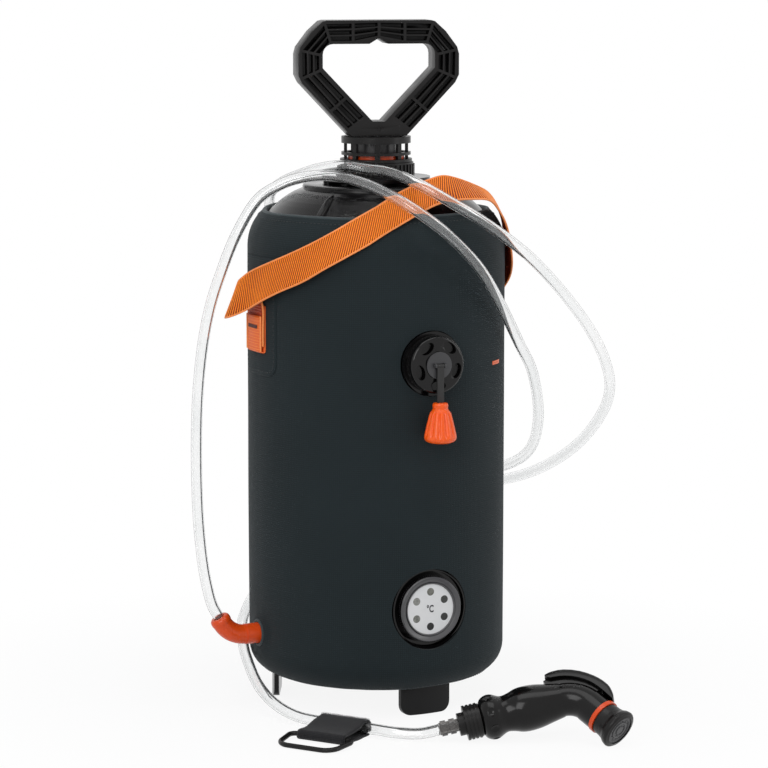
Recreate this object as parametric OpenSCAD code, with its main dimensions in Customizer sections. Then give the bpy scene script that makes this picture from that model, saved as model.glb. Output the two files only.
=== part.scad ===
// Pump-up camp shower: a ten-litre pressure tank in a fabric cover, with a hand pump on
// top, a release valve and a thermometer on the front, and a hose with a spray handset.
// Origin on the tank axis at the ground, +Z up, the front faces -Y.

/* [Tank] */
// Outer diameter of the tank
tank_d = 193; // [180:1:205]
// Wall of the tank
tank_wall = 2.6; // [2:0.1:3.4]
// Height at which the shoulder begins
side_top_z = 357; // [340:1:372]
// Ground clearance under the tank base
base_z = 20; // [16:0.5:22]
// Radius of the bottom corner
corner_r = 18.5; // [14:0.5:20]
// Radius of the shoulder
shoulder_r = 34; // [30:0.5:38]
// Width of a foot
foot_w = 43; // [36:1:52]
// Thickness of a foot
foot_t = 7; // [5:0.5:9]
// Distance of a foot's outer face inside the tank's side
foot_inset = 13.5; // [13:0.5:16.5]

/* [Neck and pump] */
// Bore of the tank's neck
neck_bore_d = 44; // [42:0.5:45]
// Outer diameter of the tank's neck
neck_d = 52; // [50:0.5:54]
// Height of the neck above its plate
neck_h = 5.5; // [4.5:0.25:7]
// Diameter of the plate under the collar
plate_d = 84; // [76:1:90]
// Outer diameter of the ribbed collar
collar_d = 60; // [58:0.5:64]
// Number of grip ribs on the collar
collar_ribs = 44; // [24:4:60]
// Outer diameter of the pump barrel
barrel_d = 34; // [30:0.5:36]
// Wall of the pump barrel
barrel_wall = 1.8; // [1.4:0.1:2.4]
// Clearance of the pump barrel over the tank floor
barrel_clear = 52; // [46:1:76]
// Diameter of the pump rod
rod_d = 12; // [9:0.5:14]
// Number of posts in the cage
cage_posts = 8; // [6:1:10]

/* [Handle] */
// Width of the handle
handle_w = 126; // [116:1:140]
// Height of the handle
handle_h = 89; // [80:1:100]
// Thickness of the handle
handle_t = 25; // [20:1:30]
// Thickness of the web between the channels
web_t = 5; // [3:0.5:8]
// Turn of the handle about the pump rod at rest
handle_turn = -14; // [-45:1:45]

/* [Cover] */
// Thickness of the padded fabric cover
cover_t = 3.2; // [2:0.1:3.4]
// Angle up the shoulder at which the cover ends
cover_top_angle = 48; // [40:1:56]
// Angle round the bottom corner at which the cover ends
cover_low_angle = 74; // [66:1:80]

/* [Strap] */
// Width of the strap webbing
strap_w = 30; // [26:1:34]
// Thickness of the strap webbing
strap_t = 1.6; // [1.2:0.1:2]
// Height of the sewn strap tabs
tab_h = 36; // [30:1:44]
// Height of the top edge of the tabs
tab_top_z = 315; // [300:1:316]

/* [Release valve] */
// Height of the valve
valve_z = 275.5; // [260:0.5:290]
// Diameter of the valve flange
valve_d = 49; // [44:0.5:52]
// Diameter of the valve cap
cap_d = 44; // [40:0.5:44]
// Height of the cap above the flange
cap_h = 10; // [8:0.5:12]
// Travel of the valve when it is pulled
valve_travel = 4; // [2:0.5:5]
// Height of the bell-shaped pull
pull_h = 31; // [26:1:36]
// Diameter of the pull at its foot
pull_d = 25; // [22:0.5:28]
// Number of flutes round the pull
pull_flutes = 12; // [8:1:14]

/* [Thermometer] */
// Height of the thermometer
gauge_z = 86; // [80:0.5:92]
// Outer diameter of the thermometer bezel
bezel_d = 61; // [58:0.5:64]
// Diameter of the dial
dial_d = 41; // [38:0.5:42]
// Diameter of one temperature dot
dot_d = 6; // [4:0.5:7]
// Radius of the ring of dots
dot_ring_r = 13.5; // [12:0.5:15]

/* [Outlet] */
// Height of the outlet
outlet_z = 57.5; // [54:0.5:60]
// Outer diameter of the outlet elbow
elbow_d = 16; // [14:0.5:17]
// Bend radius of the elbow
elbow_bend_r = 22; // [18:1:24]
// Angle through which the elbow turns up
elbow_angle = 60; // [60:1:60]

/* [Hose] */
// Outer diameter of the hose
hose_d = 8.5; // [8:0.1:9]

/* [Handset] */
// Largest diameter of the grip
grip_d = 34; // [31:0.5:34]
// Diameter at the bend and the neck
neck_grip_d = 25.6; // [24:0.2:26]
// Distance from the hose end to the bend
grip_l = 92; // [88:1:98]
// Bend of the head
head_bend = 60; // [55:1:65]
// Width of the lever
lever_w = 19; // [17:0.5:21]
// Travel of the lever in degrees
lever_travel = 3.5; // [2:0.5:3.5]
// Diameter of the nozzle flange
nozzle_d = 30.6; // [28:0.2:31]

/* [Hose wrap] */
// Length of the hose wrap along the hose
wrap_l = 40; // [34:1:46]
// Thickness of the hook-and-loop tape
wrap_t = 1.8; // [1.4:0.1:2.2]
// Bar diameter of the hanging ring
ring_bar_d = 3.8; // [3:0.1:4]

/* [Hidden] */
$fn = 64;

// Clearances: a running fit, a gap between curved faces, and a fit of small pins
fit = 0.05;
thread_fit = 0.08;
gap = 0.3;
over = 1;

tank_r = tank_d / 2;
tank_in_r = tank_r - tank_wall;
foot_r = tank_r - foot_inset;
foot_web_l = 18;
foot_turn = 3.5;
corner_c = tank_r - corner_r;
corner_z = base_z + 5 + corner_r;
shoulder_c = tank_r - shoulder_r;
dome_z = side_top_z + shoulder_r + 13.5;
cone_l = 11.4;
cone_r = shoulder_c + shoulder_r * cos(cover_top_angle) - cone_l * sin(cover_top_angle);
cone_z = side_top_z + shoulder_r * sin(cover_top_angle) + cone_l * cos(cover_top_angle);
crown_r = (dome_z - cone_z) / (1 - sin(cover_top_angle));
crown_c = cone_r - crown_r * cos(cover_top_angle);
neck_foot_z = dome_z;
plate_z = neck_foot_z + 4;
plate_t = 3;
plate_top_z = plate_z + plate_t;
neck_top_z = plate_top_z + neck_h;
cover_in_r = tank_r + gap;
cover_r = cover_in_r + cover_t;

seal_t = 1.5;
barrel_flange_t = 2;
barrel_flange_z = neck_top_z + seal_t;
collar_lip_z = barrel_flange_z + barrel_flange_t;
collar_lip_t = 1.3;
barrel_r = barrel_d / 2;
barrel_bore_r = barrel_r - barrel_wall;
barrel_low_z = base_z + tank_wall + barrel_clear;
barrel_l = barrel_flange_z - barrel_low_z;
cage_z = collar_lip_z + collar_lip_t + gap;
cage_r = barrel_r + 10;
cage_post_r = cage_r - 3.5;
cage_flange_t = 2.2;
low_window_h = 3;
high_window_h = 7;
cage_mid_z = cage_z + cage_flange_t + low_window_h;
cage_head_z = cage_mid_z + cage_flange_t + high_window_h;
cage_head_t = 5;
cage_top_z = cage_head_z + cage_head_t;
gland_z = cage_z + cage_flange_t;
rod_r = rod_d / 2;
handle_z = cage_top_z + 0.5;
socket_h = 9;
piston_h = 18;
piston_z = barrel_low_z + 14;
key_d = 3.2;
key_z = handle_z + 5;

valve_seat_y = tank_r + 0.5;
valve_back_y = valve_seat_y + 1.2;
flange_t = 3;
cap_back_y = valve_back_y + flange_t + gap;
cap_face_y = cap_back_y + cap_h;
button_t = 1.2;
button_y = cap_face_y + gap;
eye_y = button_y + button_t + 1.6;
inner_pad_y = tank_r - 5;
valve_bore_r = 9.2;
valve_nose_y = tank_r - 16.5;
poppet_y = tank_r - 8.2;
poppet_t = 2.7;
strap_drop = 28;
pull_top_z = valve_z - strap_drop;

pocket_y = tank_r - 7.5;
pocket_r = bezel_d / 2 + gap;
gauge_seal_t = 1;
bezel_y = pocket_y + gauge_seal_t;
dial_depth = 7.5;
dial_y = bezel_y + dial_depth;
dial_t = 1;
stud_r = 6;

outlet_seat_x = tank_r + 0.7;
elbow_x = outlet_seat_x + 1.2;
elbow_nose_x = tank_r - 14.5;
elbow_nose_r = 6.1;
elbow_r = elbow_d / 2;
elbow_straight = 14.5;
bend_step = 0.4;
elbow_end = 5;
socket_r = hose_d / 2 + 0.1;

// The handset lies on the ground beside the front foot
handset_at = [-9.8, -166.6, 12];
handset_yaw = -20;
handset_pitch = 12.5;
handset_roll = -50;
bend_r = 22;
bend_start = grip_l - bend_r * tan(head_bend / 2);
neck_r = neck_grip_d / 2;
head_start = bend_r * tan(head_bend / 2);
head_neck_end = 25;
spigot_r = 9;
spigot_end = 38;
nut_l = 17;
rib_r = 39.5;
rib_w = 13;
blade_in_r = 42.5;
blade_r = 46;
pin_angle = 36;
pin_ring_r = 37.5;
pin_d = 3.5;
stem_x = grip_l - 8;
stem_d = 3.6;

// Hose route, chosen along the way that the hose lies: from the outlet up the left side,
// over the shoulder, round two loops and down to the ground beside the handset
HOSE = [[-132.1, 0, 68.8], [-135.7, 0, 75], [-140.5, 2, 87], [-146, 4, 118],
    [-149, 6, 165], [-149, 6, 227],
    [-146, 4, 274], [-140, 1, 312], [-131, -4, 344], [-121, -9, 371], [-107, -15, 396],
    [-92, -24, 408], [-77, -34, 414], [-60, -50, 416], [-46, -72, 412], [-33, -94, 404],
    [-18, -112, 392], [4, -120, 374], [32, -115, 348], [61, -95, 316], [91, -68, 282],
    [114, -47, 255], [132, -23, 218], [140, 4, 187], [136, 34, 169], [120, 66, 160],
    [90, 96, 162], [48, 115, 178], [0, 122, 204], [-34, 116, 244], [-50, 100, 292],
    [-49, 97, 336], [-50, 91, 367], [-57, 78, 386], [-62, 60, 397], [-62, 36, 406],
    [-60, 9, 413], [-55, -16, 419], [-43, -34, 422], [-30, -46, 420], [-18, -63, 418],
    [-7, -89, 411], [12, -105, 398], [38, -106, 383], [68, -97, 365], [94, -88, 347],
    [123, -82, 320], [150, -75, 290], [169, -66, 262], [181, -51, 238], [183, -34, 216],
    [177, -12, 192], [164, 12, 172], [146, 36, 158], [120, 66, 148], [84, 94, 138],
    [40, 110, 122], [-10, 112, 100], [-56, 96, 76], [-86, 66, 56], [-100, 34, 43],
    [-107, 6, 32], [-111, -24, 21], [-108, -48, 12], [-101, -71, 7.2],
    [-90.6, -93, 6.6], [-65.4, -129, 6.6], [-52, -145, 5.8], [-37.3, -156.4, 6],
    [-23.4, -161.65, 8.8]];
hose_sides = 10;

// Strap stations, each the upper and the lower edge of the webbing, as they lie on a tank
// of this radius and shoulder height; on another tank they move out and up with it
strap_tank = [96.5, 357];
STRAP = [[[-102, -15, 316], [-102, 15, 316]], [[-106, -9, 326], [-111, 15, 313.5]],
    [[-110, 5, 330], [-119, 14, 305]], [[-114, 8, 331], [-123.5, 13, 305]],
    [[-115, 2, 333], [-122.5, 5, 306]], [[-110, -8, 341], [-113, -7, 312]],
    [[-103, -27, 350], [-107, -22, 319]], [[-93, -45, 358], [-100, -41, 328]],
    [[-82, -62, 367], [-89, -60, 337]], [[-69, -75, 377], [-78, -74, 347]],
    [[-54, -81, 387], [-64, -84, 356]], [[-38, -84, 395], [-48, -90, 366]],
    [[-24, -83, 402], [-34, -92, 375]], [[-6, -77, 408], [-16, -92, 384]],
    [[11, -71, 412], [0, -89, 391]], [[24, -67, 414], [14, -87, 396]],
    [[35, -63, 412], [29, -86, 398]], [[48, -59, 408], [44, -82, 398]],
    [[61, -54, 404], [58, -81, 396]], [[74, -48, 398], [69, -75, 387]],
    [[86, -41, 385], [79, -68, 375]], [[95, -32, 370], [87, -59, 361]],
    [[100, -21, 353], [95, -47, 344]], [[103, -4, 337], [101, -31, 330]],
    [[102, 15, 315.5], [102, -15, 315.5]]];

function arc(c, r, a0, a1, n) =
    [for (i = [0 : n]) c + r * [cos(a0 + (a1 - a0) * i / n), sin(a0 + (a1 - a0) * i / n)]];
function between(a, b, t) = a * (1 - t) + b * t;
function unit(v) = v / norm(v);
function curve(p0, p1, p2, p3, t) = 0.5 * (2 * p1 + (p2 - p0) * t
    + (2 * p0 - 5 * p1 + 4 * p2 - p3) * t * t + (3 * p1 - p0 - 3 * p2 + p3) * t * t * t);
function smooth(points, n) = let (last = len(points) - 1)
    [for (i = [0 : last - 1]) for (k = [0 : n - 1])
        curve(points[max(i - 1, 0)], points[i], points[i + 1], points[min(i + 2, last)],
            k / n), points[last]];
function tangent(path, i) =
    unit(path[min(i + 1, len(path) - 1)] - path[max(i - 1, 0)]);
// Frames carried along a path without twist: each holds a side vector square to the path
function sides(path, i = 0, v = undef) = i == len(path) ? [] :
    let (t = tangent(path, i), w = is_undef(v) ? cross(t, [0, 1, 0]) : v,
        u = unit(w - t * (w * t)))
    concat([u], sides(path, i + 1, u));
// Faces of a tube of rings of n points, with flat ends
function tube_faces(rings, n) = concat([[for (k = [n - 1 : -1 : 0]) k]],
    [for (i = [0 : rings - 2]) for (k = [0 : n - 1])
        [i * n + k, i * n + (k + 1) % n, (i + 1) * n + (k + 1) % n, (i + 1) * n + k]],
    [[for (k = [0 : n - 1]) (rings - 1) * n + k]]);

// Four-sided faces that aren't flat, each split into two triangles
function split_faces(faces) = [for (f = faces) each
    [for (k = [1 : len(f) - 2]) [f[0], f[k], f[k + 1]]]];

module tube(path, r, n) {
    u = sides(path);
    points = [for (i = [0 : len(path) - 1]) let (t = tangent(path, i), w = cross(t, u[i]))
        for (k = [0 : n - 1])
            path[i] + r * (u[i] * cos(360 * k / n) + w * sin(360 * k / n))];
    polyhedron(points, tube_faces(len(path), n));
}

module ring(r_out, r_in, h) {
    difference() {
        cylinder(r = r_out, h = h);
        translate([0, 0, -over])
            cylinder(r = r_in, h = h + 2 * over);
    }
}

// Carries a piece modelled along +Z to the front of the tank, pointing at -Y
module to_front(z) {
    translate([0, 0, z])
        rotate([90, 0, 0])
            children();
}

// Carries a piece modelled along +Z to the left side of the tank, pointing at -X
module to_left(z) {
    translate([0, 0, z])
        rotate([0, -90, 0])
            children();
}

// Carries a piece modelled along +X to where the handset lies
module on_handset() {
    translate(handset_at)
        rotate([0, 0, handset_yaw])
            rotate([0, -handset_pitch, 0])
                rotate([handset_roll, 0, 0])
                    children();
}

// Carries a piece modelled along +Z to the head of the handset
module on_head() {
    on_handset()
        translate([grip_l, 0, 0])
            rotate([0, head_bend + 90, 0])
                children();
}

// Carries a revolve about +Z to the bend of the handset, angles from +X towards +Z
module on_bend() {
    on_handset()
        translate([bend_start, 0, -bend_r])
            rotate([90, 0, 0])
                children();
}

module tank_solid(inset) {
    step = inset * 0.4;
    rotate_extrude($fn = 128)
        polygon(concat([[0, base_z + inset], [corner_c - 10 - step, base_z + inset],
                [corner_c - 6 - step, base_z + 5 + inset]],
            arc([corner_c, corner_z], corner_r - inset, -90, 0, 10),
            arc([shoulder_c, side_top_z], shoulder_r - inset, 0, cover_top_angle, 8),
            arc([crown_c, dome_z - crown_r], crown_r - inset, cover_top_angle, 90, 8),
            [[0, dome_z - inset]]));
}

module foot() {
    round_r = 8;
    half = foot_w / 2;
    top_z = base_z + 5 + tank_wall;
    web_y = foot_t - foot_r - 0.5;
    outline = concat(arc([-half + round_r, round_r], round_r, 180, 270, 6),
        arc([half - round_r, round_r], round_r, 270, 360, 6),
        arc([half + 6, top_z - 6], 6, 180, 90, 5),
        arc([-half - 6, top_z - 6], 6, 90, 0, 5));
    intersection() {
        rotate([90, 0, 0])
            translate([0, 0, foot_r - foot_t])
                linear_extrude(foot_t)
                    polygon(outline);
        translate([0, 0, -over])
            cylinder(r = foot_r - 0.5, h = top_z + 1, $fn = 128);
    }
    // The web behind the foot
    rotate([90, 0, 90])
        translate([0, 0, -2])
            linear_extrude(4)
                polygon([[web_y, base_z - 7], [web_y + foot_web_l, base_z + 1],
                    [web_y + foot_web_l, top_z - 1], [web_y, top_z]]);
}

module neck() {
    plate_rib_n = 12;
    cylinder(r = neck_d / 2 + 4, h = plate_z - neck_foot_z + 4);
    translate([0, 0, plate_z - neck_foot_z])
        cylinder(r = plate_d / 2, h = plate_t);
    cylinder(r = neck_d / 2, h = neck_top_z - neck_foot_z);
    for (i = [0 : plate_rib_n - 1])
        rotate([0, 0, 360 / plate_rib_n * i])
            translate([neck_d / 2, -1.2, -1.2])
                cube([plate_d / 2 - neck_d / 2 - 1, 2.4, plate_z - neck_foot_z + 1.7]);
}

module tank() {
    color("#101214")
        difference() {
            union() {
                difference() {
                    tank_solid(0);
                    tank_solid(tank_wall);
                }
                translate([0, 0, neck_foot_z - 4])
                    ring(neck_d / 2 + 8, neck_bore_d / 2, 5);
                translate([0, 0, neck_foot_z - 1])
                    neck();
                for (a = [0, 120, 240])
                    rotate([0, 0, a + foot_turn])
                        foot();
                to_front(valve_z)
                    translate([0, 0, inner_pad_y])
                        cylinder(r = 16, h = valve_seat_y - inner_pad_y);
                to_left(outlet_z)
                    translate([0, 0, inner_pad_y])
                        cylinder(r = 13, h = outlet_seat_x - inner_pad_y);
                intersection() {
                    to_front(gauge_z)
                        translate([0, 0, pocket_y - tank_wall])
                            cylinder(r = pocket_r + tank_wall, h = 20);
                    tank_solid(0);
                }
            }
            translate([0, 0, neck_foot_z - 20])
                cylinder(r = neck_bore_d / 2, h = 60);
            to_front(valve_z)
                translate([0, 0, inner_pad_y - over])
                    cylinder(r = valve_bore_r, h = 12);
            to_left(outlet_z)
                translate([0, 0, inner_pad_y - over])
                    cylinder(r = elbow_nose_r + 0.2, h = 12);
            to_front(gauge_z)
                translate([0, 0, pocket_y])
                    cylinder(r = pocket_r, h = 20);
            to_front(gauge_z)
                translate([0, 0, pocket_y - 10])
                    cylinder(r = stud_r + 0.2, h = 12);
        }
}

module cover_profile() {
    out_corner = corner_r + gap + cover_t;
    in_corner = corner_r + gap;
    out_top = shoulder_r + gap + cover_t;
    in_top = shoulder_r + gap;
    polygon(concat(
        arc([corner_c, corner_z], out_corner, -cover_low_angle, 0, 10),
        arc([shoulder_c, side_top_z], out_top, 0, cover_top_angle, 10),
        arc([shoulder_c, side_top_z], in_top, cover_top_angle, 0, 10),
        arc([corner_c, corner_z], in_corner, 0, -cover_low_angle, 10)));
}

module cover() {
    color("#20302f")
        difference() {
            rotate_extrude($fn = 128)
                cover_profile();
            to_front(valve_z)
                translate([0, 0, tank_r / 2])
                    cylinder(r = valve_d / 2 + 0.7, h = tank_r);
            to_front(gauge_z)
                translate([0, 0, tank_r / 2])
                    cylinder(r = bezel_d / 2 + 0.8, h = tank_r);
            to_left(outlet_z)
                translate([0, 0, tank_r / 2])
                    cylinder(r = elbow_r + 5.6, h = tank_r);
        }
}

module strap_tab(side) {
    tab_t = 2 * strap_t + 0.2;
    tab_r = cover_r + gap;
    sweep = strap_w / tab_r * 180 / PI;
    color("#f0641e")
        translate([0, 0, tab_top_z - tab_h])
            rotate([0, 0, side > 0 ? -sweep / 2 : 180 - sweep / 2])
                rotate_extrude(angle = sweep, $fn = 128)
                    translate([tab_r, 0])
                        square([tab_t, tab_h]);
}

module strap_tab_left() {
    strap_tab(-1);
}

module strap_tab_right() {
    strap_tab(1);
}

function strap_point(p) = let (r = norm([p[0], p[1]]), k = 1 + (tank_r - strap_tank[0]) / r)
    [p[0] * k, p[1] * k, p[2] + side_top_z - strap_tank[1]];

// The webbing is a ribbon through its stations, half its thickness to each side
module shoulder_strap() {
    upper = smooth([for (s = STRAP) strap_point(s[0])], 2);
    lower = smooth([for (s = STRAP) strap_point(s[1])], 2);
    n = len(upper);
    function width(i) = let (v = upper[i] - lower[i]) strap_w / 2 * unit(v);
    function face(i) = let (t = (upper[min(i + 1, n - 1)] + lower[min(i + 1, n - 1)]
        - upper[max(i - 1, 0)] - lower[max(i - 1, 0)]) / 2)
        strap_t / 2 * unit(cross(t, upper[i] - lower[i]));
    function middle(i) = (upper[i] + lower[i]) / 2;
    points = [for (i = [0 : n - 1]) for (c = [[1, 1], [1, -1], [-1, -1], [-1, 1]])
        middle(i) + c[0] * width(i) + c[1] * face(i)];
    color("#f0641e")
        polyhedron(points, split_faces(tube_faces(n, 4)));
}

module neck_seal() {
    color("#202020")
        translate([0, 0, neck_top_z])
            ring(neck_d / 2 - 0.3, neck_bore_d / 2 + 0.2, seal_t);
}

module pump_collar() {
    low_z = plate_top_z + gap;
    color("#16181a")
        difference() {
            union() {
                translate([0, 0, low_z])
                    cylinder(r = collar_d / 2 - 1, h = collar_lip_z + collar_lip_t - low_z);
                for (i = [0 : collar_ribs - 1])
                    rotate([0, 0, 360 / collar_ribs * i])
                        translate([collar_d / 2 - 2, -0.8, low_z])
                            cube([2, 1.6, collar_lip_z + collar_lip_t - low_z - 1.5]);
            }
            translate([0, 0, low_z - over])
                cylinder(r = neck_d / 2 + thread_fit, h = collar_lip_z - low_z + over);
            translate([0, 0, low_z])
                cylinder(r = cage_spigot_r() + thread_fit, h = 20);
        }
}

function cage_spigot_r() = neck_bore_d / 2 + 1;

module pump_cage() {
    color("#131517")
        difference() {
            union() {
                translate([0, 0, collar_lip_z])
                    cylinder(r = cage_spigot_r(), h = cage_z - collar_lip_z);
                translate([0, 0, cage_z])
                    cylinder(r = cage_r + 1, h = cage_flange_t);
                translate([0, 0, cage_mid_z])
                    ring(cage_r, cage_post_r - 1, cage_flange_t);
                translate([0, 0, cage_head_z])
                    ring(cage_r, cage_post_r - 1, cage_head_t);
                translate([0, 0, cage_top_z - 3])
                    cylinder(r = cage_r - over, h = 3);
                for (i = [0 : cage_posts - 1])
                    rotate([0, 0, 360 / cage_posts * (i + 0.5)])
                        translate([cage_post_r - 1, -2, cage_z + cage_flange_t / 2])
                            cube([2.4, 4, cage_head_z - cage_z]);
            }
            translate([0, 0, collar_lip_z - over])
                cylinder(r = barrel_bore_r, h = cage_head_z - cage_z);
            translate([0, 0, cage_top_z - 3 - over])
                cylinder(r = rod_r + fit, h = 3 + 2 * over);
        }
}

module guide_ring() {
    color("#e8581c")
        translate([0, 0, cage_z + cage_flange_t])
            ring(cage_post_r - 1.7, barrel_bore_r + 1, low_window_h + 0.6);
}

module pump_gland() {
    color("#1b1d1f")
        difference() {
            union() {
                translate([0, 0, barrel_flange_z - 6])
                    cylinder(r = barrel_bore_r - fit, h = gland_z - barrel_flange_z + 6);
                translate([0, 0, gland_z])
                    cylinder(r = barrel_bore_r + 0.5, h = cage_top_z - 3 - gland_z);
            }
            translate([0, 0, barrel_flange_z - 10])
                cylinder(r = rod_r + fit, h = 60);
        }
}

module pump_barrel() {
    color("#c9ccce")
        difference() {
            union() {
                translate([0, 0, barrel_low_z + 6])
                    cylinder(r = barrel_r, h = barrel_l - 6);
                translate([0, 0, barrel_flange_z])
                    cylinder(r = neck_d / 2 - 0.1, h = barrel_flange_t);
            }
            translate([0, 0, barrel_low_z])
                cylinder(r = barrel_bore_r, h = barrel_l + 20);
        }
}

module barrel_foot() {
    color("#2a2d30")
        difference() {
            union() {
                translate([0, 0, barrel_low_z])
                    cylinder(r = barrel_r, h = 6);
                translate([0, 0, barrel_low_z + 6])
                    cylinder(r = barrel_bore_r - fit, h = 4);
            }
            translate([0, 0, barrel_low_z - over])
                cylinder(r = 2.2, h = 20);
            for (a = [0 : 60 : 300])
                rotate([0, 0, a])
                    translate([7, 0, barrel_low_z - over])
                        cylinder(r = 1.8, h = 20);
        }
}

module check_valve() {
    color("#7a2c20")
        union() {
            translate([0, 0, barrel_low_z - 1.6])
                cylinder(r = 10.5, h = 1.6);
            translate([0, 0, barrel_low_z - 0.5])
                cylinder(r = 2.2 - fit, h = 11.5);
            translate([0, 0, barrel_low_z + 10])
                cylinder(r1 = 3.4, r2 = 1.6, h = 2.4);
        }
}

module pump_rod() {
    low_z = piston_z + 6;
    color("#b9bdc0")
        difference() {
            translate([0, 0, low_z])
                cylinder(r = rod_r, h = handle_z + socket_h - low_z);
            translate([0, 0, key_z])
                rotate([90, 0, handle_turn])
                    cylinder(d = key_d, h = 60, center = true);
        }
}

module piston() {
    color("#2b2e31")
        difference() {
            translate([0, 0, piston_z])
                cylinder(r = barrel_bore_r - 0.1, h = piston_h);
            translate([0, 0, piston_z + 6])
                cylinder(r = rod_r, h = piston_h);
            translate([0, 0, piston_z + 8])
                ring(barrel_bore_r + 2, barrel_bore_r - 2.6, 4);
        }
}

module piston_seal() {
    color("#1a1a1a")
        translate([0, 0, piston_z + 8.1])
            ring(barrel_bore_r - fit / 2, barrel_bore_r - 2.5, 3.8);
}

// Stations round the right half of the handle, each an outer and an inner corner
foot_half = 21.5;
leg_in = [5, 11.4];
grip_drop = 18;
side_w = 19;
half_w = handle_w / 2;
HANDLE_OUT = [[foot_half, 0], [half_w - 3, 41], [half_w, 47], [half_w, 63],
    [half_w - 1.5, 68.5], [half_w - 10.5, 80.5], [half_w - 19, handle_h - 0.8],
    [half_w - 22, handle_h]];
HANDLE_IN = concat([leg_in, [half_w - side_w, 52.6]],
    arc([half_w - side_w - 8, handle_h - grip_drop - 8], 8, 0, 90, 5),
    [[7.5, handle_h - grip_drop], [0, handle_h - grip_drop + 4.5]]);
CELLS = [[[25.5, 4], [9.5, 16]], [[39.5, 18], [24.5, 31]], [[half_w - 1, 44], [44.5, 51.5]],
    [[half_w - 0.5, 66.5], [44.5, 62.5]], [[43, handle_h - 0.5], [37.5, 71]],
    [[20.3, handle_h], [20.3, 71]], [[0, handle_h], [0, 75.5]]];
BANDS = [[0.13, 0.34], [0.41, 0.6], [0.67, 0.87]];

function mirrored(points) = concat(points,
    [for (i = [len(points) - 1 : -1 : 0]) [-points[i][0], points[i][1]]]);
function cell_corner(i, t) = between(CELLS[i][0], CELLS[i][1], t);
function inset_pair(a, b, d) = let (s = d / norm(b - a)) [between(a, b, s), between(b, a, s)];

module handle_pocket(i, band) {
    rib = 1.1;
    low = inset_pair(cell_corner(i, band[0]), cell_corner(i + 1, band[0]), rib);
    high = inset_pair(cell_corner(i, band[1]), cell_corner(i + 1, band[1]), rib);
    polygon([low[0], low[1], high[1], high[0]]);
}

module handle_pockets() {
    for (m = [0, 1])
        mirror([m, 0])
            for (i = [0 : len(CELLS) - 2])
                for (band = BANDS)
                    handle_pocket(i, band);
}

module pump_handle() {
    depth = (handle_t - web_t) / 2;
    color("#0f1011")
        translate([0, 0, handle_z])
            rotate([0, 0, handle_turn])
                difference() {
                    rotate([90, 0, 0])
                        difference() {
                            translate([0, 0, -handle_t / 2])
                                linear_extrude(handle_t)
                                    difference() {
                                        polygon(mirrored(HANDLE_OUT));
                                        polygon(mirrored(HANDLE_IN));
                                    }
                            for (side = [0, 1])
                                mirror([0, 0, side])
                                    translate([0, 0, handle_t / 2 - depth])
                                        linear_extrude(depth + over)
                                            handle_pockets();
                        }
                    translate([0, 0, -over])
                        cylinder(r = rod_r + 0.02, h = socket_h + over);
                    translate([0, 0, key_z - handle_z])
                        rotate([90, 0, 0])
                            cylinder(d = key_d, h = handle_t + 2 * over, center = true);
                }
}

module handle_pin() {
    color("#9ea2a5")
        translate([0, 0, key_z])
            rotate([90, 0, handle_turn])
                cylinder(d = key_d, h = handle_t - 1, center = true);
}

module valve_gasket() {
    color("#1d1d1d")
        to_front(valve_z)
            translate([0, 0, valve_seat_y])
                ring(valve_bore_r + 4.8, valve_bore_r, valve_back_y - valve_seat_y);
}

module valve_body() {
    color("#121314")
        to_front(valve_z)
            difference() {
                union() {
                    translate([0, 0, valve_back_y])
                        cylinder(r = valve_d / 2, h = flange_t);
                    translate([0, 0, valve_nose_y])
                        cylinder(r = valve_bore_r - gap, h = valve_back_y - valve_nose_y + 1);
                }
                translate([0, 0, poppet_y - gap])
                    cylinder(r = 7, h = 40);
                translate([0, 0, valve_nose_y - over])
                    cylinder(r = 3.5, h = poppet_y - valve_nose_y + over);
            }
}

module valve_nut() {
    color("#d8dadb")
        to_front(valve_z)
            translate([0, 0, inner_pad_y - 6])
                difference() {
                    cylinder(r = 14, h = 6, $fn = 6);
                    translate([0, 0, -over])
                        cylinder(r = valve_bore_r - 0.2, h = 8);
                }
}

module valve_cap() {
    grips = 5;
    cap_r = cap_d / 2;
    color("#151617")
        to_front(valve_z)
            difference() {
                translate([0, 0, cap_back_y])
                    rotate_extrude()
                        polygon(concat([[0, 0], [cap_r, 0], [cap_r, cap_h - 3]],
                            arc([cap_r - 2.5, cap_h - 2.8], 2.5, 0, 90, 6),
                            [[cap_r - 7, cap_h], [0, cap_h]]));
                for (i = [0 : grips - 1])
                    rotate([0, 0, 270 + 360 / grips * i])
                        translate([cap_r - 6.2, 0, cap_face_y - 6])
                            scale([0.62, 1, 1])
                                cylinder(r = 6, h = 10);
                translate([0, 0, cap_back_y - over])
                    cylinder(r = 7, h = 3 + over);
                translate([0, 0, cap_back_y - over])
                    cylinder(r = 2.5 + fit, h = 20);
            }
}

module valve_spring() {
    color("#c7c9cb")
        to_front(valve_z)
            translate([0, 0, poppet_y + poppet_t])
                ring(6, 4, cap_back_y + 3 - poppet_y - poppet_t);
}

module valve_stem() {
    color("#c7c9cb")
        to_front(valve_z)
            translate([0, 0, poppet_y + 0.8])
                cylinder(r = 2.5, h = button_y + 0.6 - poppet_y - 0.8);
}

module valve_seal() {
    color("#1a1a1a")
        to_front(valve_z)
            translate([0, 0, poppet_y])
                difference() {
                    cylinder(r = 5.5, h = poppet_t);
                    translate([0, 0, 0.8])
                        cylinder(r = 2.5, h = poppet_t);
                }
}

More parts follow.
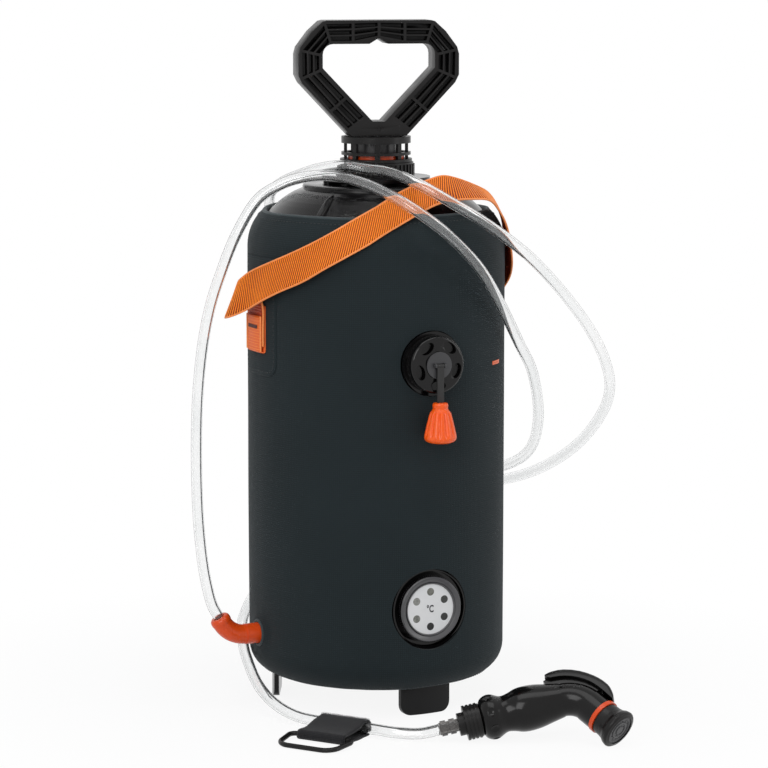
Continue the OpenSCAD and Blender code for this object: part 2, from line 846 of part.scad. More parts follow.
module valve_button() {
    ear_t = 1.6;
    ear_x = 3.2;
    color("#46494b")
        to_front(valve_z)
            difference() {
                union() {
                    translate([0, 0, button_y])
                        cylinder(r = 10.3, h = button_t);
                    for (m = [0, 1])
                        mirror([m, 0, 0])
                            translate([ear_x, 0, 0]) {
                                translate([0, -1.7, button_y])
                                    cube([ear_t, 3.4, eye_y - button_y]);
                                translate([0, 0, eye_y])
                                    rotate([0, 90, 0])
                                        cylinder(r = 1.7, h = ear_t);
                            }
                }
                translate([0, 0, button_y - over])
                    cylinder(r = 2.5, h = over + 0.6);
                translate([-10, 0, eye_y])
                    rotate([0, 90, 0])
                        cylinder(r = 0.8, h = 20);
            }
}

module pull_pin() {
    color("#c7c9cb")
        to_front(valve_z)
            translate([-4.8, 0, eye_y])
                rotate([0, 90, 0])
                    cylinder(r = 0.8, h = 9.6);
}

module pull_strap() {
    t = 1.4;
    w = 5.6;
    color("#191a1b")
        to_front(valve_z)
            difference() {
                union() {
                    translate([-w / 2, 0, eye_y])
                        rotate([0, 90, 0])
                            cylinder(r = 1.3, h = w);
                    translate([-w / 2, -strap_drop - 3, eye_y - t / 2])
                        cube([w, strap_drop + 3, t]);
                }
                translate([-w, 0, eye_y])
                    rotate([0, 90, 0])
                        cylinder(r = 0.8 + fit, h = 2 * w);
            }
}

module release_pull() {
    top_r = 6;
    foot_pull_r = pull_d / 2;
    profile = concat([[0, 0], [top_r - 1, 0], [top_r, -1], [top_r, -4], [top_r + 0.6, -6]],
        arc([foot_pull_r - 2.5, 3.2 - pull_h], 2.5, 10, -90, 6), [[0, 0.7 - pull_h]]);
    color("#f26a1b")
        translate([0, -eye_y, pull_top_z])
            difference() {
                rotate_extrude()
                    polygon(profile);
                for (i = [0 : pull_flutes - 1])
                    rotate([0, 0, 360 / pull_flutes * i])
                        translate([top_r + 2.1, 0, -6.5])
                            rotate([0, 180 - atan((foot_pull_r - top_r - 1.5) / pull_h), 0])
                                cylinder(r = 1.5, h = pull_h - 10, $fn = 24);
                translate([-2.9, -0.8, -4])
                    cube([5.8, 1.6, 5]);
            }
}

module gauge_seal() {
    color("#1a1a1a")
        to_front(gauge_z)
            translate([0, 0, pocket_y])
            ring(bezel_d / 2 - 2.5, bezel_d / 2 - 6.5, gauge_seal_t);
}

module gauge_bezel() {
    lip_r = bezel_d / 2;
    boss_r = dial_d / 2 + 5;
    dial_r = dial_d / 2;
    color("#0e0f10")
        to_front(gauge_z)
            translate([0, 0, bezel_y]) {
                rotate_extrude($fn = 96)
                    polygon([[0, 0], [lip_r, 0], [lip_r, 6.4], [lip_r - 1.2, 6.6],
                        [lip_r - 1.6, 2.4], [boss_r + 0.8, 2], [boss_r, 9.2],
                        [boss_r - 0.8, 10], [dial_r + 0.9, 9.3], [dial_r + 0.1, 8.4],
                        [dial_r + 0.1, dial_y - bezel_y], [0, dial_y - bezel_y]]);
                translate([0, 0, -14])
                    cylinder(r = stud_r, h = 14);
            }
}

module gauge_nut() {
    color("#d8dadb")
        to_front(gauge_z)
            translate([0, 0, pocket_y - tank_wall - 5])
                difference() {
                    cylinder(r = 11, h = 5, $fn = 6);
                    translate([0, 0, -over])
                        cylinder(r = stud_r + fit, h = 8);
                }
}

module dot_ring(r, h) {
    for (a = [30 : 60 : 330])
        rotate([0, 0, a])
            translate([dot_ring_r, 0, 0])
                cylinder(r = r, h = h);
}

module gauge_dial() {
    color("#e9ebec")
        to_front(gauge_z)
            translate([0, 0, dial_y])
                difference() {
                    cylinder(d = dial_d, h = dial_t);
                    translate([0, 0, -over])
                        dot_ring(dot_d / 2, dial_t + 2 * over);
                }
}

module gauge_dots() {
    color("#4a4c4a")
        to_front(gauge_z)
            translate([0, 0, dial_y])
                dot_ring(dot_d / 2 - 0.02, dial_t - 0.2);
}

module outlet_gasket() {
    color("#1d1d1d")
        to_left(outlet_z)
            translate([0, 0, outlet_seat_x])
            ring(elbow_nose_r + 5.9, elbow_nose_r + 0.2, elbow_x - outlet_seat_x);
}

// The bend of the elbow; it runs a degree into the pipe and the end, which are a shade wider
module elbow_end() {
    translate([elbow_bend_r, 0, 0])
        rotate([0, -1, 0])
            rotate([90, 0, 180])
                rotate_extrude(angle = elbow_angle + 2)
                    translate([elbow_bend_r, 0])
                        circle(r = elbow_r - bend_step);
}

module elbow_tip_frame() {
    translate([elbow_bend_r, 0, 0])
        rotate([0, elbow_angle, 0])
            translate([-elbow_bend_r, 0, 0])
                children();
}

module outlet_elbow() {
    color("#e8551b")
        to_left(outlet_z)
            difference() {
                union() {
                    translate([0, 0, elbow_x])
                        cylinder(r = elbow_r + 2.6, h = 2);
                    translate([0, 0, elbow_x])
                        cylinder(r = elbow_r, h = elbow_straight);
                    translate([0, 0, elbow_nose_x])
                        cylinder(r = elbow_nose_r, h = elbow_x - elbow_nose_x);
                    translate([0, 0, elbow_x + elbow_straight]) {
                        elbow_end();
                        elbow_tip_frame()
                            rotate_extrude()
                                polygon(concat([[0, 0], [elbow_r, 0]],
                                    arc([elbow_r - 3, elbow_end - 3], 3, 0, 90, 6),
                                    [[0, elbow_end]]));
                    }
                }
                translate([0, 0, elbow_nose_x - over])
                    cylinder(r = 3, h = elbow_x + elbow_straight - elbow_nose_x + over);
                translate([0, 0, elbow_x + elbow_straight])
                    elbow_tip_frame()
                        translate([0, 0, elbow_end - 6])
                            cylinder(r = socket_r, h = 10);
            }
}

module outlet_nut() {
    color("#d8dadb")
        to_left(outlet_z)
            translate([0, 0, inner_pad_y - 5])
                difference() {
                    cylinder(r = 11.5, h = 5, $fn = 6);
                    translate([0, 0, -over])
                        cylinder(r = elbow_nose_r + fit, h = 7);
                }
}

module hose() {
    color("#dfe6ea")
        tube(smooth(HOSE, 1), hose_d / 2, hose_sides);
}

module hose_tail() {
    color("#9aa3a6")
        on_handset()
            rotate([0, 90, 0])
                difference() {
                    union() {
                        translate([0, 0, -14.5])
                            cylinder(r = 4.7, h = 19);
                        for (x = [-13.5, -6.8])
                            translate([0, 0, x])
                                cylinder(r = 5.8, h = 4.2);
                        translate([0, 0, 2.4])
                            cylinder(r = 7.6, h = 4.6);
                    }
                    translate([0, 0, -15])
                        cylinder(r = 2.6, h = 30);
                }
}

module handset_nut() {
    thread_n = 4;
    color("#141516")
        on_handset()
            rotate([0, 90, 0])
                difference() {
                    union() {
                        cylinder(r = 8.6, h = 6);
                        translate([0, 0, 5])
                            cylinder(r = 12.4, h = nut_l - 5);
                        for (i = [0 : thread_n - 1])
                            translate([0, 0, 5 + i * 3])
                                cylinder(r = 13.2, h = 1.8);
                    }
                    translate([0, 0, -over])
                        cylinder(r = 5, h = 10);
                    translate([0, 0, 2.3])
                        cylinder(r = 7.9, h = 6);
                    translate([0, 0, 7])
                        cylinder(r = 9.8, h = 20);
                }
}

// Half profile of the grip: distance from the hose end, radius
GRIP = [[nut_l + gap, 11.6], [19, 14.4], [22, 16.3], [25.5, 17], [29, 16.3], [32.5, 14.6],
    [36, 13.6], [41, 14.6], [46.5, grip_d / 2 - 0.6], [53, grip_d / 2],
    [61, grip_d / 2 - 0.6], [70, grip_d / 2 - 2.4], [bend_start, neck_r]];

module grip_solid() {
    rotate([0, 90, 0])
        difference() {
            rotate_extrude()
                rotate([0, 0, 90])
                    mirror([0, 1])
                        polygon(concat([[7.2, 0], [7.2, 9.5], [nut_l + gap, 9.5]],
                            smooth(GRIP, 3), [[bend_start, 0]]));
            for (i = [0 : 7])
                rotate([0, 0, 45 * i + 22.5])
                    translate([20.6, 0, 25.5])
                        sphere(r = 5.2, $fn = 32);
        }
}

module handset_body() {
    color("#111214")
        difference() {
            union() {
                on_handset()
                    grip_solid();
                on_bend()
                    rotate([0, 0, 90 - head_bend - 1])
                        rotate_extrude(angle = head_bend + 2)
                            translate([bend_r, 0])
                                circle(r = neck_r - bend_step);
                on_head()
                    translate([0, 0, head_start])
                        cylinder(r = neck_r, h = head_neck_end - head_start);
                on_head()
                    translate([0, 0, head_start])
                        cylinder(r = spigot_r, h = spigot_end - head_start);
                on_bend()
                    rotate([0, 0, pin_angle - 2])
                        rotate_extrude(angle = 106 - pin_angle, $fn = 96)
                            translate([28, -rib_w / 2])
                                square([rib_r - 28, rib_w]);
                on_bend()
                    rotate([0, 0, pin_angle])
                        translate([pin_ring_r, 0, 0.2 - rib_w / 2])
                            cylinder(r = 4, h = rib_w - 0.4);
            }
            on_bend()
                rotate([0, 0, pin_angle])
                    translate([pin_ring_r, 0, -rib_w])
                        cylinder(d = pin_d, h = 2 * rib_w);
            on_handset() {
                translate([5, 0, 0])
                    rotate([0, 90, 0])
                        cylinder(r = 4, h = grip_l - 2.5);
                translate([stem_x, 0, 6])
                    cylinder(r = 3.6, h = 20);
                translate([stem_x, 0, 0])
                    cylinder(r = stem_d / 2 + fit, h = 10);
                translate([stem_x, 0, -8])
                    cylinder(r = 5, h = 10);
            }
            on_head()
                translate([0, 0, -2])
                    cylinder(r = 4.4, h = spigot_end + 4);
            on_head()
                translate([0, 0, 33])
                    ring(spigot_r + 2, spigot_r - 1.4, 2);
        }
}

module handset_lever() {
    skirt_t = 2.5;
    skirt_in_r = 38.5;
    half = lever_w / 2;
    color("#17181a")
        difference() {
            union() {
                on_bend()
                    rotate([0, 0, 90 - head_bend])
                        rotate_extrude(angle = head_bend + 9, $fn = 96)
                            translate([blade_in_r, -half])
                                square([blade_r - blade_in_r, lever_w]);
                on_head()
                    translate([0.2 - blade_r + bend_r, 0.2 - half, head_start - 0.6])
                        cube([blade_r - blade_in_r - 0.4, lever_w - 0.4, 9.6]);
                for (m = [0, 1])
                    on_bend()
                        mirror([0, 0, m]) {
                            rotate([0, 0, 90 - head_bend])
                                rotate_extrude(angle = head_bend + 9, $fn = 96)
                                    translate([skirt_in_r, half - skirt_t])
                                        square([blade_r - skirt_in_r - 1, skirt_t]);
                            rotate([0, 0, pin_angle])
                                translate([pin_ring_r, 0, half - skirt_t - 0.3])
                                    cylinder(r = 3.8, h = skirt_t + 0.7);
                        }
            }
            on_bend()
                rotate([0, 0, pin_angle])
                    translate([pin_ring_r, 0, -lever_w])
                        cylinder(r = pin_d / 2 + fit, h = 2 * lever_w);
        }
}

module lever_pin() {
    color("#b4b8ba")
        on_bend()
            rotate([0, 0, pin_angle])
                translate([pin_ring_r, 0, -lever_w / 2 + 0.3])
                    cylinder(d = pin_d, h = lever_w - 0.6);
}

function blade_z(x) = sqrt(pow(blade_in_r, 2) - pow(x - bend_start, 2)) - bend_r;

module trigger_stem() {
    top_z = blade_z(stem_x + 3) - gap / 2;
    color("#c2c5c7")
        on_handset()
            translate([stem_x, 0, 0]) {
                translate([0, 0, 0.5])
                    cylinder(d = stem_d, h = top_z - 0.5);
                translate([0, 0, top_z - 1.6])
                    cylinder(r = 3, h = 1.6);
            }
}

module trigger_spring() {
    top_z = blade_z(stem_x + 3) - gap / 2 - 1.6;
    color("#c7c9cb")
        on_handset()
            translate([stem_x, 0, 6])
                ring(3.2, stem_d / 2 + 0.4, top_z - 6);
}

module trigger_seal() {
    color("#8c2f22")
        on_handset()
            translate([stem_x, 0, -3])
                difference() {
                    cylinder(r = 4.4, h = 4.7);
                    translate([0, 0, 1.4])
                        cylinder(d = stem_d, h = 5);
                }
}

module accent_ring() {
    color("#e8551b")
        on_head()
            translate([0, 0, head_neck_end])
                ring(neck_r + 0.6, spigot_r, 3.3);
}

module nozzle_head() {
    color("#1a1b1d")
        on_head()
            difference() {
                rotate_extrude($fn = 96)
                    polygon(concat([[0, head_neck_end + 3.6], [12.4, head_neck_end + 3.6],
                        [12.7, 34], [13.4, 37.5], [nozzle_d / 2 - 0.5, 40]],
                        arc([nozzle_d / 2 - 2, 42.6], 2, -10, 90, 6),
                        [[11.6, 45.2], [0, 45.2]]));
                cylinder(r = spigot_r + fit, h = spigot_end + gap);
                cylinder(r = 4.4, h = 60);
                translate([0, 0, 42])
                    cylinder(r = 11.6, h = 10);
            }
}

module nozzle_face() {
    color("#202224")
        on_head()
            difference() {
                rotate_extrude($fn = 96)
                    polygon([[0, 42], [11.55, 42], [11.55, 44.4], [9.4, 44.4], [9, 43.8],
                        [7.4, 43.8], [7, 44.5], [5.6, 44.5], [5.2, 43.9], [3.6, 43.9],
                        [3.2, 44.6], [0, 44.6]]);
                for (a = [0 : 45 : 315])
                    rotate([0, 0, a])
                        translate([4.4, 0, 40])
                            cylinder(r = 0.5, h = 10, $fn = 16);
                for (a = [0 : 30 : 330])
                    rotate([0, 0, a])
                        translate([8.2, 0, 40])
                            cylinder(r = 0.5, h = 10, $fn = 16);
            }
}

module nozzle_seal() {
    color("#1a1a1a")
        on_head()
            translate([0, 0, 33.1])
                ring(spigot_r, spigot_r - 1.3, 1.8);
}

// The wrap closes round the hose and holds the ring's bar in a fold
wrap_at = [-78, -111, 6.6];
wrap_yaw = -55;
wrap_in_r = hose_d / 2 + 0.25;
wrap_r = wrap_in_r + wrap_t;
fold_y = -32;
fold_r = ring_bar_d / 2 + 0.25 + wrap_t;
fold_z = fold_r - wrap_r;
ring_l = 27;

module on_wrap() {
    translate(wrap_at)
        rotate([0, 0, wrap_yaw])
            children();
}

module hose_wrap() {
    color("#16171a")
        on_wrap()
            rotate([90, 0, 90])
                translate([0, 0, -wrap_l / 2])
                    difference() {
                        union() {
                            cylinder(r = wrap_r, h = wrap_l);
                            translate([fold_y, fold_z, 0])
                                cylinder(r = fold_r, h = wrap_l);
                            translate([fold_y, -wrap_r, 0])
                                cube([-fold_y, 2 * wrap_t, wrap_l]);
                        }
                        translate([0, 0, -over])
                            cylinder(r = wrap_in_r, h = wrap_l + 2 * over);
                        translate([fold_y, fold_z, -over])
                            cylinder(r = ring_bar_d / 2 + 0.25, h = wrap_l + 2 * over);
                    }
}

// A round bar along a flat closed path
module loop(path, r, n) {
    m = len(path);
    points = [for (i = [0 : m - 1])
        let (t = unit(path[(i + 1) % m] - path[(i + m - 1) % m]), w = [t[1], -t[0]])
        for (k = [0 : n - 1])
            concat(path[i] + r * cos(360 * k / n) * w, [r * sin(360 * k / n)])];
    faces = [for (i = [0 : m - 1]) for (k = [0 : n - 1])
        [i * n + k, i * n + (k + 1) % n, (i + 1) % m * n + (k + 1) % n, (i + 1) % m * n + k]];
    polyhedron(points, faces);
}

module hanging_ring() {
    tilt = asin((fold_z + wrap_r - ring_bar_d / 2) / ring_l);
    path = concat([[-22, 0], [-8, 0], [8, 0], [22, 0]],
        arc([22, -4.5], 4.5, 75, -15, 5),
        arc([14, -ring_l + 11], 11, -15, -90, 6),
        arc([-14, -ring_l + 11], 11, -90, -165, 6),
        arc([-22, -4.5], 4.5, 195, 105, 5));
    color("#0f1011")
        on_wrap()
            translate([0, fold_y, fold_z])
                rotate([tilt, 0, 0])
                    loop(path, ring_bar_d / 2, 12);
}

tank();
cover();
strap_tab_left();
strap_tab_right();
shoulder_strap();
neck_seal();
pump_collar();
pump_cage();
guide_ring();
pump_gland();
pump_barrel();
barrel_foot();
check_valve();
pump_rod();
piston();
piston_seal();
pump_handle();
handle_pin();
valve_body();
valve_gasket();
valve_nut();
valve_cap();
valve_spring();
valve_stem();
valve_seal();
valve_button();
pull_pin();
pull_strap();
release_pull();
gauge_bezel();
gauge_seal();
gauge_nut();
gauge_dial();
gauge_dots();
outlet_elbow();
outlet_gasket();
outlet_nut();
hose();
hose_tail();
handset_nut();
handset_body();
handset_lever();
lever_pin();
trigger_stem();
trigger_spring();
trigger_seal();
accent_ring();
nozzle_head();
nozzle_face();
nozzle_seal();
hose_wrap();
hanging_ring();
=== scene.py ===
# %% [markdown]
# # A pump-up camp shower, dressed for the camera
# The object is a ten-litre pressure tank in a padded fabric cover. A hand pump with a big
# open handle stands on top, a release valve and a thermometer sit on the front, and a long
# clear hose runs to a trigger handset on the ground. The hard parts come ready made as a
# fixed frame, in metres, so this lesson spends its time on what a frame can't hold: cloth,
# webbing, a see-through hose, and the finish of every surface.

# %% Load the fixed frame
import math

import bmesh
import bpy
from mathutils import Matrix, Vector, noise
from mathutils.bvhtree import BVHTree


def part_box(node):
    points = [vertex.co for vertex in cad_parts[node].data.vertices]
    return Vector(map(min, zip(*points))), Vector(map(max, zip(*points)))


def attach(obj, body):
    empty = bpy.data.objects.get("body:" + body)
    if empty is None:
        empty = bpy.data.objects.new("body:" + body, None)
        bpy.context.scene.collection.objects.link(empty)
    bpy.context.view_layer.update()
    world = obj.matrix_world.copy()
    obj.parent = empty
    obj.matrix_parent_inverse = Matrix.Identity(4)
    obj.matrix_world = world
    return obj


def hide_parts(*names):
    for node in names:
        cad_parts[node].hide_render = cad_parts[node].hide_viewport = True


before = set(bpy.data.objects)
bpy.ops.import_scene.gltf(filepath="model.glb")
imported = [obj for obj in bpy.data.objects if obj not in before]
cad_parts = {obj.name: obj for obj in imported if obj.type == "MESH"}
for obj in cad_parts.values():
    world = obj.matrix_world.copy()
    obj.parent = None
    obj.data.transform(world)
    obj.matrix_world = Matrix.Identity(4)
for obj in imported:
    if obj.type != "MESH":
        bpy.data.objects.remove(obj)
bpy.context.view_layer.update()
mm = 0.001

# %% [markdown]
# ## The camera
# The photograph was taken a little above the object and well to its left, from far enough
# away that the tank's sides stay nearly parallel. A long lens at 2.5 m gives that look. The
# small shift puts the tank's axis where the photograph has it.

# %% Camera
camera_azimuth = math.radians(-25)
camera_height_angle = math.radians(8)
camera_distance = 2.5
camera_target = Vector((0, 0, 0.25))
towards_camera = Vector((
    math.sin(camera_azimuth) * math.cos(camera_height_angle),
    -math.cos(camera_azimuth) * math.cos(camera_height_angle),
    math.sin(camera_height_angle)))
camera_data = bpy.data.cameras.new("studio_camera")
camera_data.sensor_width = 36
camera_data.lens = 149.4
camera_data.shift_x = 0.0104
camera_data.shift_y = -0.0049
camera = bpy.data.objects.new("studio_camera", camera_data)
camera.location = camera_target + towards_camera * camera_distance
camera.rotation_mode = "QUATERNION"
camera.rotation_quaternion = (-towards_camera).to_track_quat("-Z", "Y")
bpy.context.scene.collection.objects.link(camera)
bpy.context.scene.camera = camera
print("camera at", [round(v, 3) for v in camera.location])

# %% [markdown]
# ## Small helpers for meshes
# Most soft pieces here are grids: a row of stations, each with the same number of points.
# One function turns such a grid into a mesh with its own UV map in metres, so that a weave
# follows the cloth. Another runs a smooth curve through stations chosen by hand, and a third
# bakes modifiers, because a finished piece has to be one plain mesh at the origin. The last
# one hands a piece to the frame: its material, its body and the node it stands for.

# %% Mesh helpers
def add_object(name, mesh):
    """Puts a mesh into the scene as an object at the origin."""
    made = bpy.data.objects.new(name, mesh)
    bpy.context.scene.collection.objects.link(made)
    return made


def grid_mesh(name, rows, uv_rows=None, round_columns=False, round_rows=False):
    """A mesh of quads over rows of points; round_* joins the last column or row to the first."""
    height, width = len(rows), len(rows[0])
    faces = []
    for i in range(height if round_rows else height - 1):
        for k in range(width if round_columns else width - 1):
            i2, k2 = (i + 1) % height, (k + 1) % width
            faces.append((i * width + k, i * width + k2, i2 * width + k2, i2 * width + k))
    mesh = bpy.data.meshes.new(name)
    mesh.from_pydata([p for row in rows for p in row], [], faces)
    if uv_rows:
        layer = mesh.uv_layers.new(name="cloth")
        for face in mesh.polygons:
            corners = [mesh.loops[n].vertex_index for n in face.loop_indices]
            seam = round_columns and {v % width for v in corners} >= {0, width - 1}
            for n, v in zip(face.loop_indices, corners):
                u, w = uv_rows[v // width][v % width]
                if seam and v % width == 0:
                    u += uv_rows[v // width][width - 1][0] + uv_rows[v // width][1][0]
                layer.data[n].uv = (u, w)
    mesh.shade_smooth()
    return mesh


def smooth_line(stations, steps):
    """A Catmull-Rom curve through the stations, with that many steps from one to the next."""
    last = len(stations) - 1
    line = []
    for i in range(last):
        p = [stations[max(i - 1, 0)], stations[i], stations[i + 1],
             stations[min(i + 2, last)]]
        for k in range(steps):
            t = k / steps
            line.append(0.5 * (2 * p[1] + (p[2] - p[0]) * t
                               + (2 * p[0] - 5 * p[1] + 4 * p[2] - p[3]) * t * t
                               + (3 * p[1] - p[0] - 3 * p[2] + p[3]) * t * t * t))
    return line + [stations[last].copy()]


def line_length(line):
    return sum((b - a).length for a, b in zip(line, line[1:]))


def bake(piece):
    """Turns a piece's modifiers into plain mesh."""
    graph = bpy.context.evaluated_depsgraph_get()
    piece.data = bpy.data.meshes.new_from_object(
        piece.evaluated_get(graph), preserve_all_data_layers=True, depsgraph=graph)
    piece.modifiers.clear()
    return piece


def thicken(piece, thickness, offset=0):
    """Makes a sheet solid; an offset of -1 lays all of the thickness behind it."""
    wall = piece.modifiers.new("wall", "SOLIDIFY")
    wall.thickness = thickness
    wall.offset = offset
    return wall


def point_outwards(mesh, close_ends=False):
    """Makes all faces point outwards, and closes a tube's open ends if asked."""
    shape = bmesh.new()
    shape.from_mesh(mesh)
    if close_ends:
        open_edges = [edge for edge in shape.edges if edge.is_boundary]
        bmesh.ops.holes_fill(shape, edges=open_edges, sides=0)
    bmesh.ops.recalc_face_normals(shape, faces=shape.faces)
    shape.to_mesh(mesh)
    shape.free()
    return mesh


def soft_shading(mesh, crease_degrees):
    """Smooth shading that keeps every edge sharper than the crease."""
    shape = bmesh.new()
    shape.from_mesh(mesh)
    for edge in shape.edges:
        folded = len(edge.link_faces) == 2 and edge.calc_face_angle(0) > math.radians(
            crease_degrees)
        edge.smooth = not folded
    for face in shape.faces:
        face.smooth = True
    shape.to_mesh(mesh)
    shape.free()
    return mesh


def turning_frames(line, closed=False):
    """A side vector at each point, carried along the line without twist."""
    count = len(line)
    side, sides = None, []
    for i in range(count):
        ahead = line[(i + 1) % count] if closed else line[min(i + 1, count - 1)]
        behind = line[i - 1] if closed or i else line[0]
        along = (ahead - behind).normalized()
        if side is None:
            side = along.orthogonal()
        side = (side - along * side.dot(along)).normalized()
        sides.append((side.copy(), along.cross(side)))
    return sides


def circle(count, radius=1.0):
    """That many points round a circle, each as (across, up)."""
    return [(radius * math.cos(math.tau * k / count), radius * math.sin(math.tau * k / count))
            for k in range(count)]


def tube_rings(line, radius, sides, closed=False):
    """Rings of points round a line."""
    return [[p + radius * (u * across + w * up) for across, up in circle(sides)]
            for p, (u, w) in zip(line, turning_frames(line, closed))]


def closed_tube(name, rings):
    """A mesh over rings of points, closed at both ends."""
    return point_outwards(grid_mesh(name, rings, round_columns=True), close_ends=True)


def lathed(name, outline, columns, crease_degrees, place=Matrix()):
    """A closed outline of radius and height, in mm, turned about +Z and then placed."""
    rings = [[place @ (Vector((x, y, height)) * mm) for x, y in circle(columns, radius)]
             for radius, height in outline]
    mesh = grid_mesh(name, rings, round_columns=True, round_rows=True)
    return add_object(name, soft_shading(point_outwards(mesh), crease_degrees))


def to_front(y, z):
    """Turns +Z to the front and moves the origin to a place on the front."""
    return Matrix.Translation((0, y, z)) @ Matrix.Rotation(math.radians(90), 4, "X")


def hand_in(piece, material, body, stands_for=None):
    """Gives a piece its one material and tells the frame what it rides on and stands for."""
    piece.data.materials.clear()
    piece.data.materials.append(material)
    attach(piece, body)
    if stands_for:
        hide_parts(stands_for)
    return piece


# %% [markdown]
# ## One helper for shader nodes
# Every material below is a small tree on one Principled BSDF. Colours are written as sRGB
# hex, as a paint chart gives them, and one function turns them to the linear values that
# Blender works in. Pattern sizes are real millimetres: a noise of scale 1000 / d has
# features about d millimetres across.

# %% Material helpers
def linear(hex_colour):
    """The linear colour of an sRGB hex code."""
    channels = [int(hex_colour[i:i + 2], 16) / 255 for i in (0, 2, 4)]
    return [c / 12.92 if c <= 0.04045 else ((c + 0.055) / 1.055) ** 2.4
            for c in channels] + [1.0]


def per_mm(size):
    return 1000.0 / size


def add_node(tree, kind, inputs=None, **options):
    """Adds a node, sets its options, and fills or links its inputs."""
    made = tree.nodes.new(kind)
    for option, value in options.items():
        setattr(made, option, value)
    for socket, value in (inputs or {}).items():
        if isinstance(value, bpy.types.NodeSocket):
            tree.links.new(value, made.inputs[socket])
        else:
            made.inputs[socket].default_value = value
    return made


def new_material(name, **constants):
    """A material of one Principled BSDF whose constant sockets are given by name."""
    material = bpy.data.materials.new(name)
    material.use_nodes = True
    tree = material.node_tree
    tree.nodes.clear()
    shader = add_node(tree, "ShaderNodeBsdfPrincipled",
                      {key.replace("_", " "): value for key, value in constants.items()})
    add_node(tree, "ShaderNodeOutputMaterial", {"Surface": shader.outputs["BSDF"]})
    return material, tree, shader


def dress_shader(tree, shader, colour, rough, height, depth, strength):
    """Links a colour, a roughness and a relief of that depth in millimetres."""
    relief = add_node(tree, "ShaderNodeBump", {
        "Height": height, "Distance": depth * mm, "Strength": strength})
    for socket, value in (("Base Color", colour), ("Roughness", rough),
                          ("Normal", relief.outputs["Normal"])):
        tree.links.new(value, shader.inputs[socket])


def noise_at(tree, size, detail=3.0, stretch=(1, 1, 1)):
    """A noise with features of that many millimetres in the object's own space."""
    place = add_node(tree, "ShaderNodeTexCoord")
    scaled = add_node(tree, "ShaderNodeMapping",
                      {"Vector": place.outputs["Object"], "Scale": stretch})
    made = add_node(tree, "ShaderNodeTexNoise", {"Vector": scaled.outputs["Vector"],
                                                 "Scale": per_mm(size), "Detail": detail})
    return made.outputs["Fac"]


def spread(tree, value, low, high, start=0.3, end=0.7):
    """Maps a noise, which mostly lies between start and end, to low and high."""
    return add_node(tree, "ShaderNodeMapRange", {
        "Value": value, "From Min": start, "From Max": end, "To Min": low,
        "To Max": high}).outputs["Result"]


def blend_colour(tree, factor, first, second):
    """Mixes two colours, each a hex code or a socket."""
    colours = [linear(c) if isinstance(c, str) else c for c in (first, second)]
    return add_node(tree, "ShaderNodeMix", {0: factor, 6: colours[0], 7: colours[1]},
                    data_type="RGBA").outputs[2]


# %% [markdown]
# ## Moulded plastics
# Most hard parts are injection moulded. A mould gives plastic its skin: a polished tool a
# gloss one, a spark-eroded tool a fine even grain, and blow moulding a slight ripple known
# as orange peel. Under a soft light that is what tells one black from another, so each
# material has its own grain size and depth, its own range of roughness where hands have
# polished it, and a faint dust in the colour.

# %% Plastics
def moulded(name, colour, dusty, rough, grain, depth, **constants):
    """A moulded plastic: rough is its range of roughness, grain and depth are millimetres."""
    material, tree, shader = new_material(name, **constants)
    handled = spread(tree, noise_at(tree, 38, 4), 0, 1, 0.35, 0.75)
    scuffs = noise_at(tree, 7, 5, (1, 1, 0.25))
    dress_shader(tree, shader, blend_colour(tree, handled, colour, dusty),
                 spread(tree, scuffs, *rough), noise_at(tree, grain, 2), depth, 0.8)
    return material


# High-density polyethylene, blow moulded: deep black with a rippled, half-gloss skin
blown_polyethylene = moulded(
    "blown_polyethylene_black", "09090a", "100f10", (0.14, 0.24), 9.0, 0.04,
    Specular_IOR_Level=0.2)
# Polypropylene from a spark-eroded tool: satin black with a fine grain
satin_polypropylene = moulded(
    "satin_polypropylene_black", "0c0b0b", "181616", (0.28, 0.42), 1.6, 0.03,
    Specular_IOR_Level=0.24)
# ABS from a polished tool: near-mirror black, with a trace of sink in the walls
gloss_abs = moulded("gloss_abs_black", "070607", "0d0c0c", (0.07, 0.15), 14.0, 0.06,
                    Specular_IOR_Level=0.28)
# The same ABS on the grip, where a damp hand has taken the edge off its shine
grip_abs = moulded("grip_abs_black", "070606", "0d0c0c", (0.12, 0.2), 14.0, 0.04,
                   Specular_IOR_Level=0.24)
# ABS in dark grey, for the push button, the pump's inner pieces and the spray plate
grey_abs = moulded("satin_abs_dark_grey", "2b2b2d", "363638", (0.32, 0.46), 1.6, 0.03)
# Polypropylene in orange, smooth tool: strong colour, soft highlights
orange_polypropylene = moulded(
    "gloss_polypropylene_orange", "e04c12", "d1430f", (0.20, 0.32), 6.0, 0.06,
    Specular_IOR_Level=0.35)
# Soft-touch moulding of the pull: a purer orange that scatters light a little
soft_orange = moulded("soft_touch_orange", "f45c0a", "e84f06", (0.22, 0.34), 3.0, 0.04,
                      Specular_IOR_Level=0.4, Subsurface_Weight=0.1,
                      Subsurface_Scale=0.002)
# Natural polyethylene of the pump barrel: milky white
natural_polyethylene = moulded(
    "natural_polyethylene", "c9ccce", "b9bdbf", (0.35, 0.45), 4.0, 0.04,
    Subsurface_Weight=0.2, Subsurface_Scale=0.004)
# White ABS of the dial, printed matt
dial_abs = moulded("printed_dial_white", "dcdcdc", "d2d3d4", (0.34, 0.44), 1.2, 0.02)
# Satin dark grey of the raised ring round the dial, under a thin lacquer
turned_grey = moulded("turned_bezel_grey", "353537", "454447", (0.3, 0.4), 1.2, 0.03,
                      Specular_IOR_Level=0.6, Coat_Weight=0.2, Coat_Roughness=0.2)
# Black rubber of the seals: matt, with a dusty bloom
nitrile_rubber = moulded("nitrile_rubber_black", "0e0e0e", "191818", (0.55, 0.72), 1.8, 0.05)
